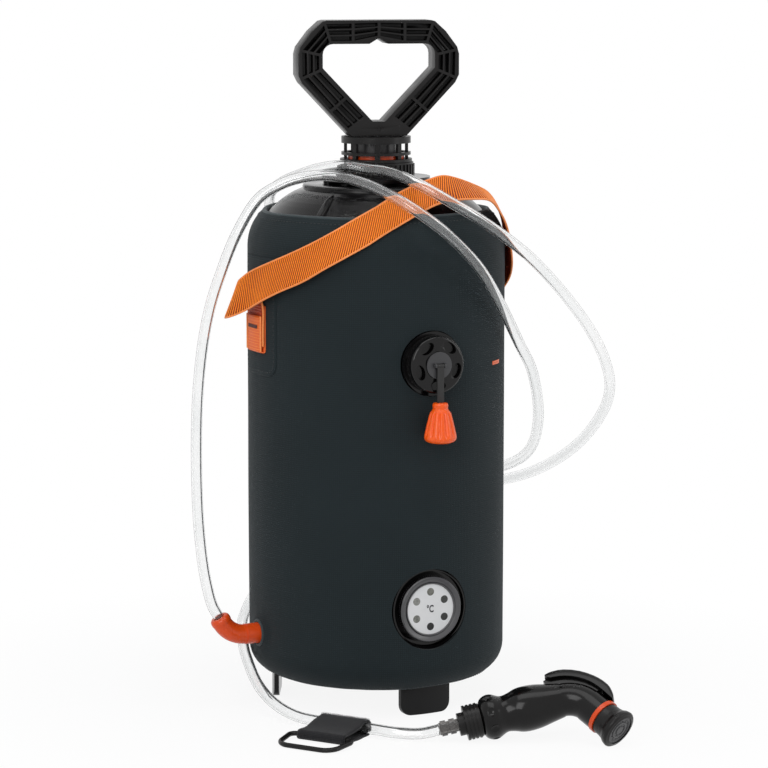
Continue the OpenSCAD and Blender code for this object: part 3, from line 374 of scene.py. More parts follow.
# Red silicone of the inner valves
silicone_red = moulded("silicone_red", "8a3023", "7a281e", (0.45, 0.6), 2.0, 0.04)
print("plastics and rubbers made")

# %% [markdown]
# ## Metals
# Little metal shows: the pins, a spring and the pump rod once the handle is up. Drawn tube
# carries fine lines along its length, and turned nuts carry them round. Both come from a
# noise that is stretched along the direction of the tool.

# %% Metals
def drawn_metal(name, colour, bright, rough, stretch):
    """A metal with fine tool marks along the axis that the stretch leaves long."""
    material, tree, shader = new_material(name, Metallic=1.0)
    marks = noise_at(tree, 1.2, 6, stretch)
    shade = blend_colour(tree, spread(tree, marks, 0, 1), colour, bright)
    dress_shader(tree, shader, shade, spread(tree, marks, *rough), marks, 0.02, 0.6)
    return material


drawn_aluminium = drawn_metal("drawn_aluminium", "b4b8bb", "cdd0d2", (0.24, 0.40), (1, 1, 0.03))
bright_steel = drawn_metal("bright_steel", "b0b2b4", "d0d2d3", (0.16, 0.32), (0.2, 1, 1))
turned_brass = drawn_metal("turned_brass", "b8924a", "d3b26c", (0.22, 0.36), (1, 0.1, 1))
print("metals made")

# %% [markdown]
# ## Clear and smoky PVC
# A soft PVC hose is clear but never perfect: a faint cloud scatters some light. Where its
# wall is seen side on, its colour is painted dark: painted shade for the dark line along each edge.
# The wall must be real, with a bore inside, or the tube would act as a solid glass rod and
# turn the picture upside down.

# %% Clear plastics
def clear_pvc(name, colour, cloudy, edge, rough, clearness):
    """A clear plastic; clearness is the share of light that passes, edge a painted shade side on.
    """
    material, tree, shader = new_material(name, IOR=1.42, Transmission_Weight=clearness)
    cloud = blend_colour(tree, spread(tree, noise_at(tree, 60, 3), 0, 1), colour, cloudy)
    # Painted shade: the colour darkens towards edge where the wall is seen side on
    painted_edge_shade = add_node(tree, "ShaderNodeLayerWeight", {"Blend": 0.5}).outputs["Facing"]
    shade = blend_colour(tree, spread(tree, painted_edge_shade, 0, 1, 0.6, 0.92), cloud, edge)
    dress_shader(tree, shader, shade, spread(tree, noise_at(tree, 9, 4), *rough),
                 noise_at(tree, 40, 0), 0.01, 0.1)
    return material


clear_hose_pvc = clear_pvc("clear_hose_pvc", "fdfdfd", "f6f7f7", "3c3e40", (0.0, 0.01), 0.98)
smoky_pvc = clear_pvc("smoky_fitting_pvc", "8f8c8a", "7c7977", "3c3a39", (0.06, 0.14), 0.75)
print("clear plastics made")

# %% [markdown]
# ## Cloth
# Three cloths matter. The cover is foam with a fine knit on its face: matt, almost black
# with a green cast, and softly lit at grazing angles, which is what sheen is for. The strap
# is woven polypropylene, glossy thread in strong ribs. The wrap on the hose is hook-and-loop
# tape, black and hairy. Their weaves follow the UV map, which is in metres along the cloth.

# %% Cloth materials
def weave(tree, across, along):
    """Height of a plain weave with threads of those widths in millimetres."""
    cloth = add_node(tree, "ShaderNodeUVMap", uv_map="cloth").outputs["UV"]
    heights = []
    for size, direction in ((across, "X"), (along, "Y")):
        heights.append(add_node(tree, "ShaderNodeTexWave", {
            "Vector": cloth, "Scale": per_mm(size) * math.tau / 20, "Distortion": 0.6,
            "Detail": 1.0}, bands_direction=direction).outputs["Fac"])
    return add_node(tree, "ShaderNodeMath", {0: heights[0], 1: heights[1]},
                    operation="MULTIPLY").outputs[0]


def fabric(name, colour, raised, threads, depth, rough, **constants):
    """A woven or knitted cloth: raised is the colour on top of its threads."""
    material, tree, shader = new_material(name, **constants)
    fibres = noise_at(tree, 1.1, 3)
    height = add_node(tree, "ShaderNodeMath", {0: weave(tree, *threads), 1: fibres},
                      operation="ADD").outputs[0]
    shade = blend_colour(tree, spread(tree, height, 0, 1, 0.4, 1.4), colour, raised)
    worn = spread(tree, noise_at(tree, 90, 4), 0, 0.35)
    dress_shader(tree, shader, blend_colour(tree, worn, shade, raised),
                 spread(tree, fibres, *rough), height, depth, 0.7)
    return material


# Knit-faced foam of the cover; the real knit is 0.6 mm, drawn at 1.6 mm so that it shows
knit_foam = fabric("knit_faced_foam", "171e20", "232c2f", (1.6, 1.6), 0.16, (0.72, 0.9),
                   Specular_IOR_Level=0.14, Sheen_Weight=0.06, Sheen_Roughness=0.5)
# Binding tape of the cover's hems, a flatter weave that catches more light. Its colour is
# painted lighter than the cover's: a painted highlight along the fold of each hem.
hem_binding_highlight = fabric("cover_hem_binding_painted_highlight", "2a3335", "3a4447", (1.2, 1.2), 0.12, (0.6, 0.8),
                      Specular_IOR_Level=0.25, Sheen_Weight=0.15, Sheen_Roughness=0.5)
# Polypropylene webbing between the ribs, painted deeper in colour: painted shade in the
# grooves between the ribs
webbing_groove_shade = fabric("webbing_groove_painted_shade", "a83a08", "bf4a0c", (1.0, 1.6), 0.12,
                        (0.5, 0.65), Specular_IOR_Level=0.3, Sheen_Weight=0.05)
# Its back, which the photograph shows in a deep red: painted shadow, for the back lies
# in shade
strap_back_shadow = fabric("strap_back_painted_shadow", "6e1a08", "8a240c", (1.0, 1.6), 0.12, (0.5, 0.65),
                      Specular_IOR_Level=0.25)
# The tabs are of a closer webbing, almost without ribs
tab_webbing = fabric("tab_webbing_orange", "e05c1a", "f07230", (1.0, 1.4), 0.12, (0.45, 0.6),
                     Specular_IOR_Level=0.35)
# Hook-and-loop tape, with loops about 1 mm across
hook_tape = fabric("hook_and_loop_tape", "0f0f11", "1d1d20", (1.3, 1.0), 0.35, (0.7, 0.9),
                   Specular_IOR_Level=0.25, Sheen_Weight=0.1, Sheen_Roughness=0.5)


def yarn(name, colour, raised, rough, **constants):
    """Thread or yarn: colour and shine vary from fibre to fibre, read in object space."""
    material, tree, shader = new_material(name, **constants)
    fibres = noise_at(tree, 1.0, 4)
    shade = blend_colour(tree, spread(tree, fibres, 0, 1), colour, raised)
    dress_shader(tree, shader, shade, spread(tree, fibres, *rough), fibres, 0.05, 0.6)
    return material


rib_yarn = yarn("webbing_rib_yarn", "f27a08", "fd9216", (0.34, 0.5), Specular_IOR_Level=0.4)
# Ribs on the strap's back, in deep red: painted shadow, like the back itself
back_rib_shadow = yarn("strap_back_rib_painted_shadow", "a03012", "b63c18", (0.4, 0.55), Specular_IOR_Level=0.3)
# Selvedge yarn of the strap and the tabs, painted paler than the ribs: a painted highlight along
# the edges
selvedge_highlight_yarn = yarn("webbing_selvedge_painted_highlight", "ef8034", "f79a56", (0.34, 0.48))
cover_thread = yarn("cover_thread", "181e20", "20282a", (0.5, 0.7))
tack_thread = yarn("bar_tack_thread", "3a140e", "54201a", (0.45, 0.6))
hook_hair = yarn("hook_tape_hair", "4a4a4c", "8a8a8c", (0.3, 0.5))
print("cloth and yarn made")

# %% [markdown]
# ## Printed marks on the dial
# Each of the six dots is a heat-sensitive spot that changes shade at its own temperature, so
# they run from pale grey to black. The unit mark in the middle is plain printing ink.

# %% Ink and heat-sensitive spots
def heat_spot(name, colour, mottled):
    """A liquid-crystal spot: a matt patch with a slight mottle under its varnish."""
    material, tree, shader = new_material(name, Roughness=0.35)
    mottle = spread(tree, noise_at(tree, 1.6, 3), 0, 1)
    tree.links.new(blend_colour(tree, mottle, colour, mottled), shader.inputs["Base Color"])
    return material


spot_shades = {30: ("272827", "3a3b38"), 90: ("55554f", "7d7d74"), 150: ("6b6b67", "91918b"),
               210: ("5a5b56", "84857e"), 270: ("0a0a0a", "161616"), 330: ("191a1a", "292a29")}
spot_materials = {angle: heat_spot(f"heat_spot_{angle}", *shades)
                  for angle, shades in spot_shades.items()}
printing_ink = heat_spot("printing_ink_grey", "28282a", "38383a")
level_print = heat_spot("level_mark_orange", "e0561c", "ea6526")
print("spots:", len(spot_materials))

# %% [markdown]
# ## The hose
# The hose is the one thing that lies free, so it comes first. Its route repeats, point for
# point, the one that the frame was packed with: out of the elbow, up the left side and over
# the shoulder, round two loops and down to the ground. A smooth curve runs through those
# points, and two walls are swept along it, 8.5 mm outside and 6 mm inside.

# %% Hose
HOSE_STATIONS = [
    (-132.1, 0, 68.8), (-135.7, 0, 75), (-140.5, 2, 87), (-146, 4, 118), (-149, 6, 165),
    (-149, 6, 227), (-146, 4, 274), (-140, 1, 312), (-131, -4, 344), (-121, -9, 371),
    (-107, -15, 396), (-92, -24, 408), (-77, -34, 414), (-60, -50, 416), (-46, -72, 412),
    (-33, -94, 404), (-18, -112, 392), (4, -120, 374), (32, -115, 348), (61, -95, 316),
    (91, -68, 282), (114, -47, 255), (132, -23, 218), (140, 4, 187), (136, 34, 169),
    (120, 66, 160), (90, 96, 162), (48, 115, 178), (0, 122, 204), (-34, 116, 244),
    (-50, 100, 292), (-49, 97, 336), (-50, 91, 367), (-57, 78, 386), (-62, 60, 397),
    (-62, 36, 406), (-60, 9, 413), (-55, -16, 419), (-43, -34, 422), (-30, -46, 420),
    (-18, -63, 418), (-7, -89, 411), (12, -105, 398), (38, -106, 383), (68, -97, 365),
    (94, -88, 347), (123, -82, 320), (150, -75, 290), (169, -66, 262), (181, -51, 238),
    (183, -34, 216), (177, -12, 192), (164, 12, 172), (146, 36, 158), (120, 66, 148),
    (84, 94, 138), (40, 110, 122), (-10, 112, 100), (-56, 96, 76), (-86, 66, 56),
    (-100, 34, 43), (-107, 6, 32), (-111, -24, 21), (-108, -48, 12), (-101, -71, 7.2),
    (-90.6, -93, 6.6), (-65.4, -129, 6.6), (-52, -145, 5.8), (-37.3, -156.4, 6),
    (-23.4, -161.65, 8.8)]
hose_diameter = 8.5 * mm
hose_bore = 6.0 * mm
hose_line = smooth_line([Vector(p) * mm for p in HOSE_STATIONS], 6)
hose_sides = 20
outer_wall = tube_rings(hose_line, hose_diameter / 2, hose_sides)
inner_wall = tube_rings(hose_line, hose_bore / 2, hose_sides)
hose_mesh = grid_mesh("clear_hose", outer_wall + inner_wall[::-1], round_columns=True,
                      round_rows=True)
clear_hose = hand_in(add_object("clear_hose", point_outwards(hose_mesh)), clear_hose_pvc,
                     "tank", "hose")

# %% [markdown]
# ## The cover
# The cover is a padded sleeve: straight up the tank, turned in over the shoulder and under
# the base. Its surface is a rule, an outline turned about the axis, so it is built as one
# grid from that outline. Real foam never lies dead flat, so a slow noise lifts it by up to
# a millimetre, more on the front than at the sides where the strap pulls it tight, and the
# rim rises and dips a little. Solidify gives it its thickness, and three cutters open it for
# the valve, the thermometer and the outlet. A cloth simulation was left out: this sleeve is
# glued foam held tight by the tank inside it, and hangs nowhere.

# %% Cover outline
cover_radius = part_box("cover")[1].x
cover_thickness = 3.2 * mm
corner_round = 22 * mm
corner_height = 43.5 * mm
shoulder_round = 37.5 * mm
shoulder_height = 357 * mm
low_angle = math.radians(74)
rim_angle = math.radians(48)
corner_run = corner_round * low_angle
side_run = shoulder_height - corner_height
shoulder_run = shoulder_round * rim_angle


def box_middle(node):
    low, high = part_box(node)
    return (low + high) / 2


def cover_outline(run):
    """Radius and height on the cover's outside, and the outward direction there."""
    if run < corner_run:
        angle = run / corner_round - low_angle
        centre = (cover_radius - corner_round, corner_height)
        size = corner_round
    elif run < corner_run + side_run:
        return cover_radius, corner_height + run - corner_run, 1.0, 0.0
    else:
        angle = (run - corner_run - side_run) / shoulder_round
        centre = (cover_radius - shoulder_round, shoulder_height)
        size = shoulder_round
    out, up = math.cos(angle), math.sin(angle)
    return centre[0] + size * out, centre[1] + size * up, out, up


outlet_height = box_middle("outlet_gasket").z
hem_inner = 11.5 * mm
hem_outer = 19 * mm


def cover_point(bearing, run, lift=0.0):
    """A point on the cover; the bearing is 0 at the front and 90 degrees at the right."""
    radius, height, out, up = cover_outline(run)
    east, south = math.sin(bearing), -math.cos(bearing)
    if east < 0:
        away = math.hypot(radius * south, height - outlet_height)
        rise = max(0.0, min(1.0, (hem_outer - away) / (hem_outer - hem_inner)))
        lift += 1.3 * mm * rise * rise * (3 - 2 * rise)
    ripple = 0.5 + 0.5 * noise.noise(Vector((2.1 * east, 2.1 * south, 9 * height)))
    folds = 0.5 + 0.5 * noise.noise(Vector((6.5 * east, 6.5 * south, 4 * height + 7)))
    slack = (0.9 * ripple + 0.35 * folds) * mm * math.sqrt(abs(south))
    radius += (slack + lift) * out
    return Vector((radius * east, radius * south, height + (slack + lift) * up))


def rim_run(bearing):
    """How far up the outline the rim is: it dips and rises by a millimetre or so."""
    dip = 0.9 * math.sin(2 * bearing + 0.7) + 0.5 * math.sin(5 * bearing + 1.1)
    return corner_run + side_run + shoulder_run + dip * mm


print("cover outline", round((corner_run + side_run + shoulder_run) * 1000), "mm")

# %% Cover shell
cover_columns = 220
cover_rows = 108
rows, cloth_rows = [], []
for i in range(cover_rows + 1):
    bearings = [math.tau * k / cover_columns for k in range(cover_columns)]
    rows.append([cover_point(b, rim_run(b) * i / cover_rows) for b in bearings])
    cloth_rows.append([(b * cover_radius, rim_run(b) * i / cover_rows) for b in bearings])
cover_shell = add_object("cover_shell", grid_mesh("cover_shell", rows, cloth_rows,
                                                  round_columns=True))
thicken(cover_shell, cover_thickness, -1).use_even_offset = True


def add_cutter(name, start, direction, radius, length):
    """A round bar that cuts a hole; it is deleted after the cut."""
    shape = bmesh.new()
    bmesh.ops.create_cone(shape, cap_ends=True, segments=96, radius1=radius, radius2=radius,
                          depth=length)
    turn = Vector(direction).to_track_quat("Z", "Y").to_matrix().to_4x4()
    place = Matrix.Translation(Vector(start) + Vector(direction) * length / 2)
    bmesh.ops.transform(shape, matrix=place @ turn, verts=shape.verts)
    mesh = bpy.data.meshes.new(name)
    shape.to_mesh(mesh)
    shape.free()
    return add_object(name, mesh)


valve_height = box_middle("valve_cap").z
gauge_height = box_middle("gauge_dial").z
cut_from, cut_length = 50 * mm, 100 * mm
cutters = [add_cutter(name, start, direction, hole_radius * mm, cut_length)
           for name, hole_radius, start, direction in (
               ("valve_hole", 25.2, (0, -cut_from, valve_height), (0, -1, 0)),
               ("gauge_hole", 31.3, (0, -cut_from, gauge_height), (0, -1, 0)),
               ("outlet_hole", 8.9, (-cut_from, 0, outlet_height), (-1, 0, 0)))]
for cutter in cutters:
    cut = cover_shell.modifiers.new(cutter.name, "BOOLEAN")
    cut.operation = "DIFFERENCE"
    cut.solver = "EXACT"
    cut.object = cutter
bake(cover_shell)
for cutter in cutters:
    bpy.data.objects.remove(cutter)
soft_shading(cover_shell.data, 40)
hand_in(cover_shell, knit_foam, "tank", "cover")
print("cover shell:", len(cover_shell.data.polygons), "faces")

# %% [markdown]
# ## The dome's step and ridge
# Two low forms of the blow mould break up the dome: a flat disc round the foot of the neck,
# and a ridge that runs up from the rim. Rays cast down on the frame's own tank say how high
# the dome is at each place, so the ridge follows it.

# %% Dome details
tank_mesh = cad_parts["tank"].data
tank_surface = BVHTree.FromPolygons([v.co for v in tank_mesh.vertices],
                                    [face.vertices for face in tank_mesh.polygons])


def dome_height(bearing, radius):
    """Height of the dome at a bearing and a radius, by a ray from just above it."""
    above = Vector((radius * math.sin(bearing), -radius * math.cos(bearing), 430 * mm))
    return tank_surface.ray_cast(above, Vector((0, 0, -1)))[0].z


step_top = 404.9
step_outline = ((29.5, step_top), (55, step_top), (56.6, step_top - 0.5),
                (57.2, step_top - 1.6), (57.2, step_top - 5), (29.5, step_top - 5))
dome_step = lathed("dome_step", step_outline, 120, 50)

ridge_bearing = math.radians(-57)
ridge_start = 92
ridge_run = 32
ridge_half = 3.2
ridge_rise = 3.4
ridge_sunk = 0.8
ridge_rows = []
for step in range(25):
    share = step / 24
    radius = (ridge_start - ridge_run * share) * mm
    bearing = ridge_bearing + math.radians(1.5) * math.sin(math.pi * share)
    size = math.sqrt(max(0.0, math.sin(math.pi * min(1.0, share * 1.06))))
    base = Vector((radius * math.sin(bearing), -radius * math.cos(bearing),
                   dome_height(bearing, radius) - ridge_sunk * mm))
    side = Vector((math.cos(bearing), math.sin(bearing), 0))
    outwards = Vector((math.sin(bearing), -math.cos(bearing), 1.2)).normalized()
    half = ridge_half * (0.3 + 0.7 * size) * mm
    rise = (ridge_sunk + ridge_rise * size) * mm
    ridge_rows.append([base + side * half * math.cos(math.pi * k / 9)
                       + outwards * rise * math.sin(math.pi * k / 9) for k in range(10)])
ridge_mesh = closed_tube("dome_ridge", ridge_rows)
dome_ridge = add_object("dome_ridge", soft_shading(ridge_mesh, 60))
for detail in (dome_step, dome_ridge):
    hand_in(detail, blown_polyethylene, "tank")
print("dome details made")

# %% [markdown]
# ## Hems, sewn patches and the level mark
# A cut edge of foam would fray, so a binding tape is folded over it and sewn down. The strap
# pulls hard at its two tabs, so each sits on a second layer of fabric with rounded corners.
# All of them lie on the cover, so they are made from the same outline function, lifted by
# their own thickness.

# %% Hems
def add_hem(name, run_at, radius):
    """A binding folded over the edge that run_at gives for a bearing."""
    line = []
    for k in range(180):
        bearing = math.tau * k / 180
        line.append(cover_point(bearing, run_at(bearing), -cover_thickness / 2))
    rings = tube_rings(line, radius, 10, closed=True)
    cloth = [[(i * cover_radius * math.tau / 180, k * radius * 0.6) for k in range(10)]
             for i in range(180)]
    mesh = grid_mesh(name, rings, cloth, round_columns=True, round_rows=True)
    return hand_in(add_object(name, point_outwards(mesh)), hem_binding_highlight, "tank")


add_hem("rim_hem", rim_run, 2.0 * mm)
add_hem("base_hem", lambda bearing: 0.0, 1.9 * mm)
outlet_side = -101.2 * mm
hem_line = [Vector((outlet_side, across, outlet_height + up))
            for across, up in circle(72, 9.5 * mm)]
hem_cloth = [[(i * 0.83 * mm, k * 0.8 * mm) for k in range(10)] for i in range(72)]
outlet_hem = add_object("outlet_hem", point_outwards(grid_mesh(
    "outlet_hem", tube_rings(hem_line, 1.25 * mm, 10, closed=True), hem_cloth,
    round_columns=True, round_rows=True)))
hand_in(outlet_hem, hem_binding_highlight, "tank")
print("hems made")


# %% Patches
def add_patch(name, bearing, half_width, low, high, corner, lift, material):
    """A layer on the cover between two heights, with round lower corners."""
    steps_up, steps_round = 48, 28
    patch_rows, cloth = [], []
    edge_fade = 1.4 * mm
    for i in range(steps_up + 1):
        above = (high - low) * (i / steps_up) ** 1.6
        half = half_width
        if above < corner:
            half -= corner - math.sqrt(max(corner ** 2 - (corner - above) ** 2, 0))
        row, row_cloth = [], []
        for k in range(steps_round + 1):
            share = math.sin((2 * k / steps_round - 1) * math.pi / 2)
            inside = min(half * (1 - abs(share)), above)
            rise = lift * min(1, inside / edge_fade) ** 0.5
            run = corner_run + low + above - corner_height
            row.append(cover_point(bearing + half * share / cover_radius, run, rise))
            row_cloth.append((half * share, above))
        patch_rows.append(row)
        cloth.append(row_cloth)
    patch = add_object(name, grid_mesh(name, patch_rows, cloth))
    thicken(patch, patch_wall, -1)
    return hand_in(bake(patch), material, "tank")


tab_bearing = math.radians(90)
patch_wall = 0.5 * mm
patch_half = 28 * mm
patch_low = 260.7 * mm
patch_corner = 11 * mm
patch_lift = 0.9 * mm
patch_high = 352 * mm
seam_high = 345 * mm
both_sides = (("left", -1), ("right", 1))
for side, sign in both_sides:
    add_patch(f"strap_patch_{side}", sign * tab_bearing, patch_half, patch_low, patch_high,
              patch_corner, patch_lift, knit_foam)
level_bearing = math.radians(42)
add_patch("level_mark", level_bearing, 7 * mm, 268.2 * mm, 271.2 * mm, 0.4 * mm, 0.3 * mm,
          level_print)
print("patches and level mark made")

# %% [markdown]
# ## Sewing, by Geometry Nodes
# A seam is one small shape repeated along a line, which is what Geometry Nodes are for. Two
# trees do all the thread work here. The first sets a stitch, a flattened bead, at even steps
# along a line and turns it to follow the line. The second turns every edge it is given into
# a round yarn, which makes the ribs and selvedge of webbing, and a bar tack.

# %% Stitch and yarn trees
def new_tree(name, inputs):
    """A Geometry Nodes tree with named inputs; returns it, its ends and input identifiers."""
    tree = bpy.data.node_groups.new(name, "GeometryNodeTree")
    tree.interface.new_socket("Geometry", in_out="INPUT", socket_type="NodeSocketGeometry")
    names = {}
    for label, kind in inputs.items():
        socket = tree.interface.new_socket(label, in_out="INPUT", socket_type=kind)
        names[label] = socket.identifier
    tree.interface.new_socket("Geometry", in_out="OUTPUT", socket_type="NodeSocketGeometry")
    return tree, add_node(tree, "NodeGroupInput"), names


def close_tree(tree, geometry, material):
    """Ends a tree: instances made real, one material, out."""
    real = add_node(tree, "GeometryNodeRealizeInstances", {0: geometry})
    smooth = add_node(tree, "GeometryNodeSetShadeSmooth", {0: real.outputs[0]})
    dressed = add_node(tree, "GeometryNodeSetMaterial", {
        "Geometry": smooth.outputs[0], "Material": material})
    add_node(tree, "NodeGroupOutput", {0: dressed.outputs[0]})


stitch_tree, given, stitch_inputs = new_tree("sewn_stitches", {
    "Pitch": "NodeSocketFloat", "Stitch Length": "NodeSocketFloat",
    "Thread Radius": "NodeSocketFloat", "Material": "NodeSocketMaterial"})
seam = add_node(stitch_tree, "GeometryNodeMeshToCurve", {"Mesh": given.outputs["Geometry"]})
steps = add_node(stitch_tree, "GeometryNodeResampleCurve", {
    "Curve": seam.outputs[0], "Length": given.outputs["Pitch"]}, mode="LENGTH")
bead = add_node(stitch_tree, "GeometryNodeMeshUVSphere", {
    "Segments": 6, "Rings": 4, "Radius": 1.0})
bead_size = add_node(stitch_tree, "ShaderNodeCombineXYZ", {
    "X": given.outputs["Stitch Length"], "Y": given.outputs["Thread Radius"],
    "Z": given.outputs["Thread Radius"]})
sized_bead = add_node(stitch_tree, "GeometryNodeTransform", {
    "Geometry": bead.outputs["Mesh"], "Scale": bead_size.outputs[0]})
along_seam = add_node(stitch_tree, "GeometryNodeInputTangent")
turned = add_node(stitch_tree, "FunctionNodeAlignRotationToVector", {
    "Vector": along_seam.outputs[0]}, axis="X")
stitches = add_node(stitch_tree, "GeometryNodeInstanceOnPoints", {
    "Points": steps.outputs[0], "Instance": sized_bead.outputs[0],
    "Rotation": turned.outputs[0]})
close_tree(stitch_tree, stitches.outputs[0], given.outputs["Material"])

yarn_tree, given, yarn_inputs = new_tree("yarn_on_edges", {
    "Radius": "NodeSocketFloat", "Material": "NodeSocketMaterial"})
lines = add_node(yarn_tree, "GeometryNodeMeshToCurve", {"Mesh": given.outputs["Geometry"]})
section = add_node(yarn_tree, "GeometryNodeCurvePrimitiveCircle", {
    "Resolution": 7, "Radius": given.outputs["Radius"]})
yarns = add_node(yarn_tree, "GeometryNodeCurveToMesh", {
    "Curve": lines.outputs[0], "Profile Curve": section.outputs[0], "Fill Caps": True})
close_tree(yarn_tree, yarns.outputs[0], given.outputs["Material"])


def grow(name, tree, names, lines, body, slot_name, **values):
    """Runs a tree over lines of points and returns the plain mesh piece that it makes."""
    points, edges = [], []
    for line in lines:
        start = len(points)
        points += line
        edges += [(start + i, start + i + 1) for i in range(len(line) - 1)]
    mesh = bpy.data.meshes.new(name + "_lines")
    mesh.from_pydata(points, edges, [])
    piece = add_object(name, mesh)
    grower = piece.modifiers.new("grow", "NODES")
    grower.node_group = tree
    for label, value in values.items():
        grower[names[label.replace("_", " ")]] = value
    bake(piece)
    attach(piece, body)
    print(name, "made of", len(piece.data.polygons), "faces")
    return piece


# %% Seams on the cover
def cover_seam(run_at, lift, steps=240):
    """A line round the cover at the run that run_at gives for a bearing."""
    bearings = [math.tau * k / steps for k in range(steps + 1)]
    return [cover_point(b, run_at(b), lift) for b in bearings]


def patch_seam(sign, inset):
    """A line just inside a patch's edge: down one side, round the corners and up."""
    half, corner = patch_half - inset, patch_corner - inset
    low = patch_low + inset
    outline = [(-half, seam_high), (-half, low + corner)]
    for side, start in ((-1, 180), (1, 270)):
        for step in range(1, 9):
            angle = math.radians(start + 90 * step / 8)
            outline.append((side * (half - corner) + corner * math.cos(angle),
                            low + corner + corner * math.sin(angle)))
    outline.append((half, seam_high))
    line = []
    for (x1, z1), (x2, z2) in zip(outline, outline[1:]):
        count = max(1, int(math.hypot(x2 - x1, z2 - z1) / (3 * mm)))
        line += [(x1 + (x2 - x1) * k / count, z1 + (z2 - z1) * k / count)
                 for k in range(count)]
    return [cover_point(sign * tab_bearing + x / cover_radius,
                        corner_run + z - corner_height, patch_lift) for x, z in line]


hem_inset = 6 * mm
patch_inset = 3 * mm
seams = {"hem_stitches": [cover_seam(lambda b: rim_run(b) - hem_inset, 0.1 * mm),
                          cover_seam(lambda b: hem_inset, 0.1 * mm)],
         "patch_stitches": [patch_seam(sign, patch_inset) for side, sign in both_sides]}
for name, lines in seams.items():
    grow(name, stitch_tree, stitch_inputs, lines, "tank", "cover_fabric", Pitch=3.4 * mm,
         Stitch_Length=1.25 * mm, Thread_Radius=0.32 * mm, Material=cover_thread)

# %% [markdown]
# ## The shoulder strap
# Flat webbing bends only across its width, which gives it its own way of lying: it rises from
# the left tab, folds over near the tank and runs across the front. The stations below are
# its upper and lower edge, close to the frame's own, with each end carried on down into its
# tab. The webbing itself is a thin sheet: orange on its face, with painted shade in the
# grooves between its ribs, and painted a deep red on its back as the shadow it lies in. Its
# ribs, 2.2 mm apart, and its two thick edges are yarns made from edges by the second tree;
# the edges are painted paler, a painted highlight along each side.

# %% Strap route
STRAP_STATIONS = [
    ((-102.2, -15, 284), (-102.2, 15, 284)),
    ((-102.2, -15, 300), (-102.2, 15, 300)),
    ((-102, -15, 315.5), (-102, 15, 315.5)), ((-106, -9, 326), (-112, 15, 311)),
    ((-110, 5, 330), (-119, 14, 305)), ((-114, 8, 331), (-123.5, 13, 305)),
    ((-115, 2, 333), (-122.5, 5, 306)), ((-110, -8, 341), (-113, -7, 312)),
    ((-103, -27, 350), (-107, -22, 319)), ((-93, -45, 358), (-100, -41, 328)),
    ((-82, -62, 367), (-89, -60, 337)), ((-69, -75, 377), (-78, -74, 347)),
    ((-54, -81, 387), (-64, -84, 356)), ((-38, -84, 395), (-48, -90, 366)),
    ((-24, -83, 402), (-34, -92, 375)), ((-6, -77, 408), (-16, -92, 384)),
    ((11, -71, 412), (0, -89, 391)), ((24, -67, 414), (14, -87, 396)),
    ((35, -63, 412), (29, -86, 398)), ((48, -59, 408), (44, -82, 398)),
    ((61, -54, 404), (58, -81, 396)), ((74, -48, 398), (69, -75, 387)),
    ((86, -41, 385), (79, -68, 375)), ((95, -32, 370), (87, -59, 361)),
    ((100, -21, 353), (95, -47, 344)), ((103, -4, 337), (101, -31, 330)),
    ((102, 15, 315.5), (102, -15, 315.5)), ((102.2, 15, 300), (102.2, -15, 300)),
    ((102.2, 15, 284), (102.2, -15, 284))]
strap_width = 30 * mm
strap_core = 1.0 * mm
rib_pitch = 2.2 * mm
rib_radius = 0.62


def even_frames(upper, lower, pitch):
    """Stations at even steps along a ribbon: its middle, its width and its facing."""
    middle = [(a + b) / 2 for a, b in zip(upper, lower)]
    total, gone, frames, i = line_length(middle), 0.0, [], 0
    for step in range(int(total / pitch) + 1):
        goal = total * step / int(total / pitch)
        while i < len(middle) - 2 and gone + (middle[i + 1] - middle[i]).length < goal:
            gone += (middle[i + 1] - middle[i]).length
            i += 1
        t = (goal - gone) / (middle[i + 1] - middle[i]).length
        across = (upper[i] - lower[i]).lerp(upper[i + 1] - lower[i + 1], t).normalized()
        along = middle[i + 1] - middle[i]
        frames.append((middle[i].lerp(middle[i + 1], t), across,
                       along.cross(across).normalized()))
    return frames


strap_upper = smooth_line([Vector(a) * mm for a, b in STRAP_STATIONS], 16)
strap_lower = smooth_line([Vector(b) * mm for a, b in STRAP_STATIONS], 16)
strap_frames = even_frames(strap_upper, strap_lower, rib_pitch)
for smoothing in range(6):
    strap_frames = [strap_frames[0]] + [
        ((a[0] + 2 * b[0] + c[0]) / 4, (a[1] + 2 * b[1] + c[1]).normalized(),
         (a[2] + 2 * b[2] + c[2]).normalized())
        for a, b, c in zip(strap_frames, strap_frames[1:], strap_frames[2:])] + [
        strap_frames[-1]]

# %% Strap pieces
strap_columns = 6
rows, cloth_rows = [], []
for i, (middle, across, facing) in enumerate(strap_frames):
    shares = [k / strap_columns - 0.5 for k in range(strap_columns + 1)]
    rows.append([middle + across * strap_width * s for s in shares])
    cloth_rows.append([(strap_width * s, i * rib_pitch) for s in shares])
strap_webbing = add_object("strap_webbing", grid_mesh("strap_webbing", rows, cloth_rows))
# The face between the ribs is in painted shade, and the second material, on the back, is painted
# shadow
strap_webbing.data.materials.append(webbing_groove_shade)
strap_webbing.data.materials.append(strap_back_shadow)
thicken(strap_webbing, strap_core).material_offset = 1
bake(strap_webbing)
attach(strap_webbing, "tank")
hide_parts("shoulder_strap")

rib_reach = strap_width / 2 - 0.8 * mm
rib_lines, edge_lines = {-1: [], 1: []}, [[], []]
for middle, across, facing in strap_frames:
    for face in (-1, 1):
        lifted = middle + facing * face * 0.25 * mm
        rib_lines[face].append([lifted - across * rib_reach, lifted + across * rib_reach])
    for n, side in enumerate((-1, 1)):
        edge_lines[n].append(middle + across * side * (strap_width / 2 - 0.3 * mm))


def webbing_yarn(name, lines, radius, material):
    """Yarns of the strap or of a tab."""
    return grow(name, yarn_tree, yarn_inputs, lines, "tank", "webbing_orange",
                Radius=radius * mm, Material=material)


